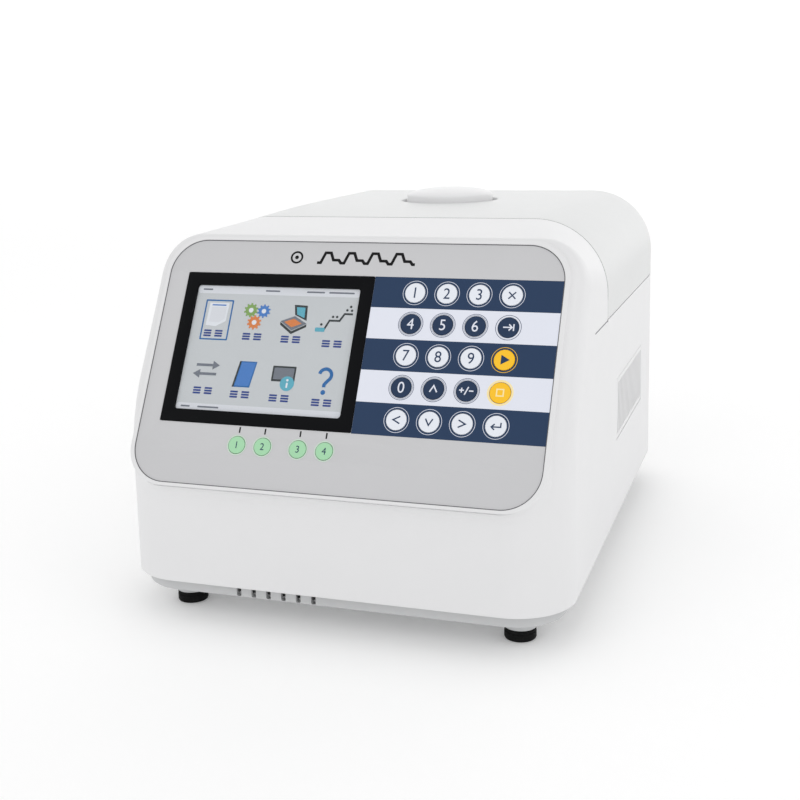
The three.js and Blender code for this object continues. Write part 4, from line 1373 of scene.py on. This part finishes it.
    def _mark(self, name: str, mark: str | Mark, x: float, y: float, body: str, ink: Finish,
              size: float) -> None:
        """Makes a key's printed mark just above its cap."""
        top = self.face + 0.5
        if mark in (Mark.START, Mark.HALT):
            loop = [tuple(point) for point in mark.value[0][:-1]]
            hollow = [[(HALT_HOLLOW * u, HALT_HOLLOW * v) for u, v in loop]] if mark is Mark.HALT else []
            print_ = sheet_of(name, [loop, *hollow], top + 0.11, top + 0.05)
        elif isinstance(mark, str):
            print_ = numeral(mark, size, top + 0.11, top + 0.05)
            print_.data.transform(Matrix.Scale(0.94, 4, (1, 0, 0)))
        else:
            print_ = sheet_of(name, [stroke(list(line), 0.85) for line in mark.value], top + 0.11,
                              top + 0.05) \
                if len(mark.value) == 1 else merged(name, [
                    sheet_of(name + "_part", [stroke(list(line), 0.8)], top + 0.11 + 0.002 * step,
                             top + 0.05)
                    for step, line in enumerate(mark.value)])
        print_.name = name
        present(settle(placed(print_, PANEL_PLACE @ Matrix.Translation((x, y, 0)))), body, ink)

    def _soft_key(self, index: int, x: float) -> None:
        """Makes one green soft key with its figure."""
        node = f"soft_key_{index + 1}"
        present(self._cap(f"soft_cap_{index + 1}", self.soft_radius, x, self.soft_y), node, KEY_GREEN,
                [node])
        self._mark(f"soft_mark_{index + 1}", str(index + 1), x, self.soft_y, node, INK_NAVY, 6.4)


# ---------------------------------------------------------------- display


def screen_ink(name: str, colour: tuple[int, int, int], glow: float = 0.2) -> Finish:
    """Returns a lit finish of the display."""
    return Finish("screen_" + name, "display_glass", colour, 0.5, relief=1, grain=0.5, mottle=0.01,
                  glow=glow)


@dataclass
class Display:
    """The display module and the picture on it: a plain menu of eight signs without words."""

    x: float = -54.0
    half_width: float = 57.6
    face: float = -2.0

    def build(self) -> None:
        """Makes the module and the picture."""
        self.ground = screen_ink("ground", (190, 194, 197))
        self.bar = screen_ink("bar", (208, 211, 217))
        self.blue = screen_ink("blue", (34, 58, 128))
        self.sea = screen_ink("sea", (34, 98, 158))
        self.light = screen_ink("light", (216, 220, 226))
        self.grey = screen_ink("grey", (108, 114, 124))
        self.dark = screen_ink("dark", (44, 50, 52))
        self.green = screen_ink("green", (122, 156, 86))
        self.orange = screen_ink("orange", (206, 122, 66))
        self.azure = screen_ink("azure", (66, 118, 186))
        self.cyan = screen_ink("cyan", (88, 164, 184))
        self.layers: list[bpy.types.Object] = []
        module = sheet_of("display_module", [rounded_loop(-116, 8, -47.5, 47.5, 1, 3)], self.face - 0.04,
                          -10, 0.3)
        present(settle(placed(module, PANEL_PLACE)), "casing", FRAME_METAL, ["lcd_module"])
        self._flat([rounded_loop(-57.6, 57.6, -43.2, 43.2, 2.0, 6)], self.ground, 0)
        self._flat([rounded_loop(-57.4, 57.4, 37.6, 43.0, 1.8, 5)], self.bar, 1)
        self._flat([rounded_loop(-57.4, 57.4, -43.0, -38.6, 1.8, 5)], self.bar, 1)
        for x0, x1, y in ((-54, -47, 40.4), (-8.6, 1.6, 40.4), (20.5, 33, 40.4), (36, 53.5, 40.4),
                          (-54, -47.5, -40.8), (-42, -27, -40.8)):
            self._flat([rounded_loop(x0, x1, y - 0.55, y + 0.55, 0.4, 2)], self.grey, 2)
        self._document()
        self._gears()
        self._instrument()
        self._gradient()
        self._arrows()
        self._book()
        self._monitor()
        self._question()
        for x, y in ((-41, 9.7), (-12.8, 8.4), (14.6, 7.6), (43.4, 5.8), (-40.6, -29.8), (-14.0, -31.1),
                     (13.6, -32.1), (42.9, -33.4)):
            self._label(x, y)
        picture = merged("display_picture", self.layers)
        present(placed(picture, PANEL_PLACE), "casing", self.ground)

    def _flat(self, loops: Sequence[Loop], finish: Finish, layer: int) -> None:
        """Adds a flat shape to the picture, in millimetres from the display's middle."""
        base = self.face + 0.03 * layer
        shape = sheet_of("shape", loops, base + 0.03, base)
        shape.data.transform(Matrix.Translation((self.x * MM, 0, 0)))
        shape.data.materials.append(finish.material())
        self.layers.append(shape)

    def _label(self, x: float, y: float) -> None:
        """Adds a wordless label: two small stacks of bars."""
        for side in (-1, 1):
            for step in (-1, 0, 1):
                middle = x + side * 4.0
                self._flat([rounded_loop(middle - 2.7, middle + 2.7, y + 1.75 * step - 0.6,
                                         y + 1.75 * step + 0.6,
                                         0.3, 2)], self.blue, 2)

    def _document(self) -> None:
        """Adds the sheet of paper in its selected frame."""
        self._flat([rounded_loop(-50.2, -30, 5.0, 33.2, 0.6, 3),
                    rounded_loop(-49.2, -31, 6.0, 32.2, 0.4, 3)],
                   self.sea, 2)
        self._flat([[(-47.5, 15.2), (-40, 14.6), (-33.4, 18.4), (-33.0, 31), (-47.0, 31)]], self.light, 3)
        self._flat([[(-45.6, 17.6), (-39, 17.2), (-34.6, 20.0), (-34.4, 28.2), (-45.2, 28.2)]], self.bar, 4)
        self._flat([rounded_loop(-45.2, -35.0, 29.0, 29.9, 0.3, 2)], self.azure, 4)

    def _gear(self, x: float, y: float, radius: float, finish: Finish) -> None:
        """Adds one toothed wheel."""
        loop: Loop = []
        for tooth in range(10):
            for share, reach in ((0, 0.78), (0.22, 0.78), (0.3, 1.0), (0.68, 1.0), (0.76, 0.78)):
                turn = 2 * math.pi * (tooth + share) / 10
                loop.append((x + radius * reach * math.cos(turn), y + radius * reach * math.sin(turn)))
        self._flat([loop, circle(x, y, radius * 0.34, 20)], finish, 3)
        self._flat([circle(x, y, radius * 0.42, 20)], self.light, 2)

    def _gears(self) -> None:
        """Adds three wheels."""
        self._gear(-16.6, 26.6, 5.0, self.green)
        self._gear(-7.4, 26.2, 4.7, self.azure)
        self._gear(-12.9, 18.2, 5.0, self.orange)

    def _instrument(self) -> None:
        """Adds the bench instrument with its lid up."""
        self._flat([[(15.0, 24.4), (13.6, 31.4), (22.8, 31.0), (23.6, 20.6)]], self.dark, 2)
        self._flat([[(16.4, 24.8), (15.4, 29.8), (21.4, 29.6), (21.8, 22.4)]], self.cyan, 3)
        self._flat([[(5.6, 19.8), (15.2, 23.6), (24.0, 18.6), (14.2, 13.6)]], self.grey, 3)
        self._flat([[(8.2, 19.4), (14.8, 21.8), (20.6, 18.6), (13.8, 15.8)]], self.orange, 4)
        self._flat([[(5.6, 19.4), (14.2, 13.2), (24.0, 18.2), (24.0, 16.4), (14.2, 11.2),
                     (5.6, 17.4)][::-1]],
                   self.dark, 2)

    def _gradient(self) -> None:
        """Adds the rising steps with dots over them."""
        self._flat([stroke([(30.6, 15.0), (36.4, 15.0), (39.4, 21.4), (46.2, 21.4), (49.0, 26.2),
                            (54.6, 26.2)], 1.3)],
                   self.dark, 3)
        self._flat([rounded_loop(30.4, 37.0, 13.6, 16.4, 0.5, 2)], self.cyan, 4)
        for x, y in ((34.2, 18.6), (41.4, 24.0), (44.2, 24.0), (50.4, 28.8), (53.6, 28.6), (52.6, 31.2)):
            self._flat([circle(x, y, 0.85, 12)], self.dark, 4)

    def _arrows(self) -> None:
        """Adds two opposite arrows."""
        for y, turn in ((-12.4, 1), (-18.4, -1)):
            self._flat([stroke([(-40.6 - turn * 7.6, y), (-40.6 + turn * 5.0, y)], 1.8)], self.grey, 3)
            head = [(-40.6 + turn * 4.2, y - 3.0), (-40.6 + turn * 9.2, y), (-40.6 + turn * 4.2, y + 3.0)]
            self._flat([head if turn > 0 else head[::-1]], self.grey, 4)

    def _book(self) -> None:
        """Adds the blue book."""
        self._flat([[(-20.4, -26.2), (-17.6, -8.6), (-5.4, -8.6), (-8.0, -26.2)]], self.sea, 2)
        self._flat([[(-18.6, -25.2), (-16.0, -9.4), (-6.2, -9.4), (-8.8, -25.2)]], self.azure, 3)
        self._flat([[(-20.4, -26.2), (-17.6, -8.6), (-16.4, -8.6), (-19.2, -26.2)]], self.dark, 4)

    def _monitor(self) -> None:
        """Adds the screen with its round badge."""
        self._flat([rounded_loop(6.2, 22.4, -21.0, -10.6, 0.5, 2)], self.dark, 2)
        self._flat([rounded_loop(7.4, 21.2, -19.6, -11.8, 0.3, 2)], self.grey, 3)
        self._flat([circle(17.6, -22.2, 4.9, 28)], self.cyan, 4)
        self._flat([rounded_loop(17.0, 18.2, -25.0, -21.6, 0.3, 2)], self.light, 5)
        self._flat([circle(17.6, -19.9, 0.8, 12)], self.light, 5)

    def _question(self) -> None:
        """Adds the bent stroke and dot of the help sign."""
        bend = [(42.8 + 4.1 * math.cos(math.radians(turn)), -15.2 + 4.1 * math.sin(math.radians(turn)))
                for turn in range(170, -61, -15)]
        self._flat([stroke([*bend, (42.9, -21.4), (42.9, -23.2)], 2.3)], self.sea, 3)
        self._flat([circle(42.9, -26.6, 1.6, 18)], self.sea, 3)


# ---------------------------------------------------------------- thermal stack


@dataclass
class ThermalStack:
    """The well block, its gasket, the coolers, the heat sink and the heated lid plate."""

    y: float = 70.5
    pitch: float = 9.0

    def build(self) -> None:
        """Makes every piece of the stack."""
        self._block()
        self._gasket()
        self._plate()
        dress("peltier_array", CERAMIC_WHITE)
        dress("heat_sink", SINK_METAL)
        self._liner()
        self._bridge()

    def _block(self) -> None:
        """Makes the block: a plate with round tapered wells set out in rows."""
        wells = [circle(-49.5 + self.pitch * column, self.y - 31.5 + self.pitch * row, 3.15, 16)
                 for column in range(12) for row in range(8)]
        top = sheet_of("block_top", [rounded_loop(-57, 57, self.y - 41, self.y + 41, 2.5, 5), *wells],
                       172, 168, 0.25)
        top.data.materials.append(BLOCK_METAL.material())
        well = Draft()
        well.lathe([(0, 155.6), (1.5, 156.0), (2.5, 158.2), (3.4, 169.5), (3.15, 169.5), (2.1, 158.5),
                    (1.2, 156.6),
                    (0, 156.2)], 16)
        cups = REPEAT.rows("block_wells", settle(well.object("well"), 50), BLOCK_METAL, 12, 8,
                           (self.pitch, self.pitch), (-49.5, self.y - 31.5))
        skirt = sheet_of("block_skirt", [rounded_loop(-57, 57, self.y - 41, self.y + 41, 2.5, 5),
                                         rounded_loop(-54.5, 54.5, self.y - 38.5, self.y + 38.5, 1.0,
                                                      3)], 168.1, 155.9)
        slab = sheet_of("block_slab", [rounded_loop(-57, 57, self.y - 41, self.y + 41, 2.5, 5)], 156, 150,
                        0.4)
        base = settle(merged("block_body", [skirt, slab]))
        base.data.materials.append(BLOCK_METAL.material())
        present(merged("well_block", [settle(top), cups, base]), "casing", BLOCK_METAL, ["sample_block"])

    def _gasket(self) -> None:
        """Makes the rubber frame round the block, with a raised lip."""
        loops = [rounded_loop(-68, 68, self.y - 52, self.y + 52, 6, 6),
                 rounded_loop(-57.5, 57.5, self.y - 41.5, self.y + 41.5, 3, 5)]
        base = sheet_of("gasket_base", loops, 176.9, 168, 0.6)
        lip = sheet_of("gasket_lip", [rounded_loop(-62.4, 62.4, self.y - 46.4, self.y + 46.4, 5, 6),
                                      rounded_loop(-60.4, 60.4, self.y - 44.4, self.y + 44.4, 4,
                                                   6)], 178.7, 176.7, 0.7)
        present(settle(merged("block_seal", [base, lip])), "casing", GASKET_RUBBER, ["block_gasket"])

    def _plate(self) -> None:
        """Makes the heated plate and its carrier."""
        plate = sheet_of("lid_heater", [rounded_loop(-53, 53, self.y - 36, self.y + 36, 3, 5)], 190.2, 184,
                         0.8)
        present(settle(plate), "heater", PLATE_METAL, ["heated_plate"])
        carrier = sheet_of("heater_frame", [rounded_loop(-61, 61, self.y - 45, self.y + 45, 5, 6)], 196.3,
                           190.5, 0.8)
        present(settle(carrier), "heater", CARRIER_BLACK, ["heater_carrier"])

    def _liner(self) -> None:
        """Makes the lid's inner cover round the heated plate."""
        outline = [(-143.9, -54.6), (143.9, -54.6), *[(float(x), float(y)) for x, y in
                   [*quarter((97.2, 167.5), (46.7, 0), (0, 41.7), 14), (97.2, 209.2)]]]
        outline += [(-x, y) for x, y in outline[:1:-1]]
        window = rounded_loop(-66, 66, self.y - 50, self.y + 50, 5, 6)
        cover = sheet_of("lid_inner_cover", [outline, window], 186.6, 184.6, 0.4)
        collar = sheet_of("cover_collar", [rounded_loop(-68.5, 68.5, self.y - 52.5, self.y + 52.5, 6.5, 6),
                                           rounded_loop(-66, 66, self.y - 50, self.y + 50, 5,
                                                        6)], 190.4, 186.4, 0.3)
        present(settle(merged("inner_cover", [cover, collar])), "lid", LID_WHITE, ["lid_liner"])
        head = Draft()
        head.lathe([(0, 183.2), (1.9, 183.25), (3.2, 183.6), (3.5, 184.2), (3.5, 184.7), (0, 184.7)], 24)
        heads = REPEAT.rows("cover_screws", settle(head.object("head")), SCREW_STEEL, 2, 2, (264, 220),
                            (-132, -38))
        present(heads, "lid", SCREW_STEEL)

    def _bridge(self) -> None:
        """Dresses the bent bar that carries the press."""
        dress("lid_bridge", BRIDGE_STEEL)


# ---------------------------------------------------------------- rear and inside


@dataclass
class RearSide:
    """The rear panel with its connections, the fan and the hinge."""

    panel_y: float = 209.2
    inlet_x: float = 78.0
    inlet_z: float = 98.0
    fan_z: float = 98.0
    rocker_y: float = 207.3
    rocker_z: float = 111.5
    hinge_y: float = 215.7
    hinge_z: float = 182.6

    def build(self) -> None:
        """Makes every piece of the rear side."""
        self._panel()
        self._inlet()
        self._rocker()
        self._port()
        self._hinge()
        dress("fan_frame", FAN_BLACK)
        dress("fan_rotor", FAN_BLACK)
        dress("main_board", BOARD_GREEN)
        dress("keypad_board", BOARD_GREEN)
        dress("keypad_mat", MAT_RUBBER)
        dress("power_supply", SUPPLY_METAL)

    def _upright(self, y: float) -> Matrix:
        """Returns the place of a flat piece whose face looks backwards at a depth."""
        return Matrix(((-1, 0, 0, 0), (0, 0, 1, y), (0, 1, 0, 0), (0, 0, 0, 1)))

    def _panel(self) -> None:
        """Makes the rear panel: fan slots, openings and four screws."""
        loops = [rounded_loop(-108, 108, 45, 150, 2, 3), rounded_loop(-92.3, -63.7, 72.7, 123.3, 0.6, 2),
                 rounded_loop(70.4, 85.6, 75.6, 84.4, 0.5, 2)]
        for index in range(9):
            x = (index - 4) * 9
            half = math.sqrt(40 * 40 - x * x)
            loops.append(rounded_loop(x - 2.5, x + 2.5, self.fan_z - half, self.fan_z + half, 2.4, 5))
        plate = sheet_of("connection_panel", loops, 0, -1.5, 0.2)
        present(settle(placed(plate, self._upright(self.panel_y))), "casing", REAR_GREY, ["rear_panel"])
        head = Draft()
        head.lathe([(0, 0.7), (0.9, 0.7), (1.0, 1.35), (2.2, 1.2), (3.0, 0.6), (3.1, 0), (3.1, -0.05),
                    (0, -0.05)][::-1],
                   28)
        screws = REPEAT.rows("panel_screws", settle(head.object("head")), SCREW_STEEL, 2, 2, (108, 84),
                             (-54, 56))
        present(placed(screws, self._upright(self.panel_y + 0.06)), "casing", SCREW_STEEL)

    def _inlet(self) -> None:
        """Makes the inlet module: flange, socket with three pins and the rocker's opening."""
        x, z = -self.inlet_x, self.inlet_z
        socket = [(x - 11.9, 76.2), (x + 11.9, 76.2), (x + 11.9, 88.2), (x + 7.6, 92.8), (x - 7.6, 92.8),
                  (x - 11.9, 88.2)]
        rocker = rounded_loop(x - 10.5, x + 10.5, 104, 119, 0.8, 3)
        flange = sheet_of("inlet_flange", [rounded_loop(x - 18, x + 18, z - 31, z + 31, 3, 6), socket,
                                           rocker],
                          0, -2.0, 0.4)
        body = sheet_of("inlet_body", [rounded_loop(x - 14, x + 14, z - 25, z + 25, 1, 3), socket, rocker],
                        -1.9, -16.0)
        back = sheet_of("inlet_back", [rounded_loop(x - 13.9, x + 13.9, z - 24.9, z + 24.9, 1, 3)], -15.9,
                        -33.4, 0.4)
        both = settle(merged("power_module", [flange, body, back]))
        both.data.materials.append(INLET_BLACK.material())
        pins = []
        for dx, dz in ((-7, 0), (7, 0), (0, 4.2)):
            pin = sheet_of("pin",
                           [rounded_loop(x + dx - 1, x + dx + 1, 82.6 + dz - 2, 82.6 + dz + 2, 0.3, 2)],
                           -3.6, -16.2, 0.3)
            pin.data.materials.append(PORT_STEEL.material())
            pins.append(settle(pin))
        module = merged("power_inlet_module", [both, *pins])
        present(placed(module, self._upright(211.5)), "casing", INLET_BLACK, ["power_inlet"])
        head = Draft()
        head.lathe([(0, -0.2), (2.4, -0.2), (2.5, 0.1), (1.6, 0.75), (0.7, 0.9), (0, 0.9)], 20)
        ears = REPEAT.rows("inlet_screws", settle(head.object("head")), SCREW_STEEL, 1, 2, (1, 56),
                           (x, z - 28))
        present(placed(ears, self._upright(211.45)), "casing", SCREW_STEEL)

    def _rocker(self) -> None:
        """Makes the rocker with its line and ring marks."""
        draft = Draft()
        side = [(-3.0, -5.2), (2.2, -6.2), (2.5, -6.1), (3.1, -3.0), (3.3, 0), (3.1, 3.0), (2.5, 6.1),
                (2.2, 6.2),
                (-3.0, 5.2)]
        pivot = Matrix.Translation((self.inlet_x, self.rocker_y, self.rocker_z))
        lean = pivot @ Matrix.Rotation(math.radians(10), 4, "X")
        basis = Matrix(((0, 0, 1, 0), (1, 0, 0, 0), (0, 1, 0, 0), (0, 0, 0, 1)))
        draft.prism(side, -10.1, 10.1, lean @ basis)
        rocker = soften(draft.object("rocker_switch"), 0.4, 3, 30)
        present(rocker, "rocker", ROCKER_BLACK, ["power_rocker"])
        face = lean @ Matrix(((-1, 0, 0, 0), (0, 0, 1, 3.2), (0, 1, 0, 0), (0, 0, 0, 1)))
        line = sheet_of("line", [rounded_loop(-5.4, -4.7, -1.6, 1.6, 0.2, 2)], 0.12, -0.1)
        ring = sheet_of("ring", [circle(5.0, 0, 1.7, 28), circle(5.0, 0, 1.15, 28)], 0.12, -0.1)
        present(placed(settle(merged("rocker_marks", [line, ring])), face), "rocker", ROCKER_MARK)

    def _port(self) -> None:
        """Makes the plated data port with its tongue."""
        x, z = 78.0, 80.0
        shell = sheet_of("port_shell", [rounded_loop(x - 7.2, x + 7.2, z - 4, z + 4, 0.8, 3),
                                        rounded_loop(x - 6.2, x + 6.2, z - 2.5, z + 2.5, 0.4,
                                                     2)], 0, -11.4, 0.2)
        back = sheet_of("port_back", [rounded_loop(x - 7.1, x + 7.1, z - 3.9, z + 3.9, 0.8, 3)], -11.3,
                        -15.4, 0.2)
        port = settle(merged("data_port", [shell, back]))
        port.data.materials.append(PORT_STEEL.material())
        tongue = sheet_of("tongue", [rounded_loop(x - 5.6, x + 5.6, z + 0.4, z + 2.0, 0.2, 2)], -2.0, -11.4,
                          0.1)
        tongue.data.materials.append(INLET_BLACK.material())
        present(placed(merged("usb_socket_shell", [port, settle(tongue)]), self._upright(210.4)), "casing",
                PORT_STEEL, ["usb_port"])

    def _along_hinge(self) -> Matrix:
        """Returns the place of a turned piece that lies along the hinge's axis."""
        return Matrix.Translation((0, self.hinge_y, self.hinge_z)) @ Matrix.Rotation(math.pi / 2, 4, "Y")

    def _hinge(self) -> None:
        """Makes both hinge leaves with round knuckles, screw heads and the pin."""
        marks = (-100, -61, -20, 20, 61, 100)
        self._leaf("hinge_lower", "casing", (0, 2, 4), marks, (160, 179.3), "hinge_base_leaf", 166)
        self._leaf("hinge_upper", "lid", (1, 3), marks, (186, 204), "hinge_lid_leaf", 197)
        draft = Draft()
        turn = self._along_hinge()
        draft.lathe([(0, -100), (1.0, -100), (1.2, -99.7), (1.2, 99.7), (1.0, 100), (0, 100)], 24, turn)
        present(settle(draft.object("hinge_rod")), "casing", SCREW_STEEL, ["hinge_pin"])

    def _leaf(self, name: str, body: str, kept: Sequence[int], marks: Sequence[int], span: Point2,
              node: str,
              screw_z: float) -> None:
        """Makes one hinge leaf.

        Args:
            name: the piece's name.
            body: the body that it rides on.
            kept: numbers of the knuckles that belong to it.
            marks: where knuckles begin and end along X.
            span: lowest and highest height of the plate.
            node: the frame node that it stands for.
            screw_z: height of its screws.
        """
        draft = Draft()
        low, high = span
        draft.box((-100, 212.8, low), (100, 214.0, high))
        for index in kept:
            x0, x1 = marks[index] + 0.25, marks[index + 1] - 0.25
            turn = self._along_hinge()
            draft.lathe([(1.5, x0), (2.5, x0), (2.76, x0 + 0.25), (2.76, x1 - 0.25), (2.5, x1), (1.5, x1),
                         (1.5, x0)],
                        28, turn)
            web = (high - 0.3, 181.9) if high < 182 else (183.3, low + 0.3)
            draft.box((x0, 212.8, web[0]), (x1, 214.0, web[1]))
        leaf = soften(draft.object(name), 0.2, 1, 50)
        present(leaf, body, HINGE_STEEL, [node])
        head = Draft()
        head.lathe([(0, 0.5), (0.9, 0.5), (1.0, 1.15), (2.2, 1.05), (3.0, 0.5), (3.1, -0.1),
                    (0, -0.1)][::-1], 24)
        heads = REPEAT.rows(name + "_screws", settle(head.object("head")), SCREW_STEEL, 4, 1, (52, 1),
                            (-78, screw_z))
        present(placed(heads, self._upright(214.0)), body, SCREW_STEEL)


# ---------------------------------------------------------------- stage


@dataclass
class Stage:
    """The pale floor, the soft lights and the camera."""

    eye: tuple[float, float, float] = (272.7, -870.0, 327.3)
    right: tuple[float, float, float] = (0.94866, 0.31559, -0.02119)
    up: tuple[float, float, float] = (-0.05531, 0.23149, 0.97127)
    lens: float = 54.675

    def build(self) -> None:
        """Makes the floor, lights, world and camera."""
        self._floor()
        self._world()
        self._light("front_light", (-0.9, -2.2, 1.9), (0, -0.1, 0.12), 1.8, 4)
        self._light("right_light", (2.4, -0.9, 1.6), (0, 0, 0.12), 1.8, 5)
        self._light("top_light", (0.1, 0.3, 2.6), (0, 0, 0.1), 2.4, 1)
        self._camera()

    @staticmethod
    def _floor() -> None:
        """Makes the plain pale floor."""
        draft = Draft()
        draft.add([(-9000, -9000, 0), (9000, -9000, 0), (9000, 9000, 0), (-9000, 9000, 0)], [[0, 1, 2, 3]])
        floor = draft.object("floor")
        finish = Finish("floor_pale", "", (246, 246, 246), 0.9, relief=2, grain=3.0, mottle=0.002,
                        glow=0.14,
                        specular=0.1)
        floor.data.materials.append(finish.material())
        wall = Draft()
        wall.add([(-9000, 8900, -10), (9000, 8900, -10), (9000, 8900, 6000), (-9000, 8900, 6000)],
                 [[0, 1, 2, 3]])
        backdrop = wall.object("backdrop")
        paper = Finish("backdrop_pale", "", (250, 250, 250), 0.9, relief=2, grain=3.0, mottle=0.002,
                       glow=0.6,
                       specular=0.1)
        backdrop.data.materials.append(paper.material())

    @staticmethod
    def _world() -> None:
        """Makes the even surrounding light."""
        world = bpy.data.worlds.new("studio")
        world.use_nodes = True
        ground = world.node_tree.nodes["Background"]
        ground.inputs["Color"].default_value = (1.0, 1.0, 1.0, 1.0)
        ground.inputs["Strength"].default_value = 0.86
        bpy.context.scene.world = world
        bpy.context.scene.view_settings.view_transform = "Standard"

    @staticmethod
    def _light(name: str, spot: Sequence[float], target: Sequence[float], size: float,
               power: float) -> None:
        """Makes one broad soft light; lengths are in metres."""
        lamp = bpy.data.lights.new(name, "AREA")
        lamp.energy = power
        lamp.size = size
        thing = link(name, lamp)
        thing.location = spot
        thing.rotation_euler = (Vector(target) - Vector(spot)).to_track_quat("-Z", "Y").to_euler()

    def _camera(self) -> None:
        """Makes the camera."""
        camera = bpy.data.cameras.new("camera")
        camera.lens = self.lens
        camera.sensor_width = 36
        camera.clip_end = 30
        thing = link("camera", camera)
        right, up = Vector(self.right).normalized(), Vector(self.up)
        up = (up - right * up.dot(right)).normalized()
        back = right.cross(up)
        turned = Matrix((right, up, back)).transposed().to_4x4()
        thing.matrix_world = Matrix.Translation(Vector(self.eye) * MM) @ turned
        bpy.context.scene.camera = thing


def main() -> None:
    """Builds the stage and every sub-assembly in order."""
    logging.basicConfig(level=logging.INFO, stream=sys.stdout)
    for assembly in (Stage(), Housing(), Lid(), Underside(), SideVents(), Knob(), ControlPanel(), Display(),
                     ThermalStack(), RearSide()):
        LOG.info("building %s", type(assembly).__name__)
        assembly.build()


if __name__ == "__main__":
    main()
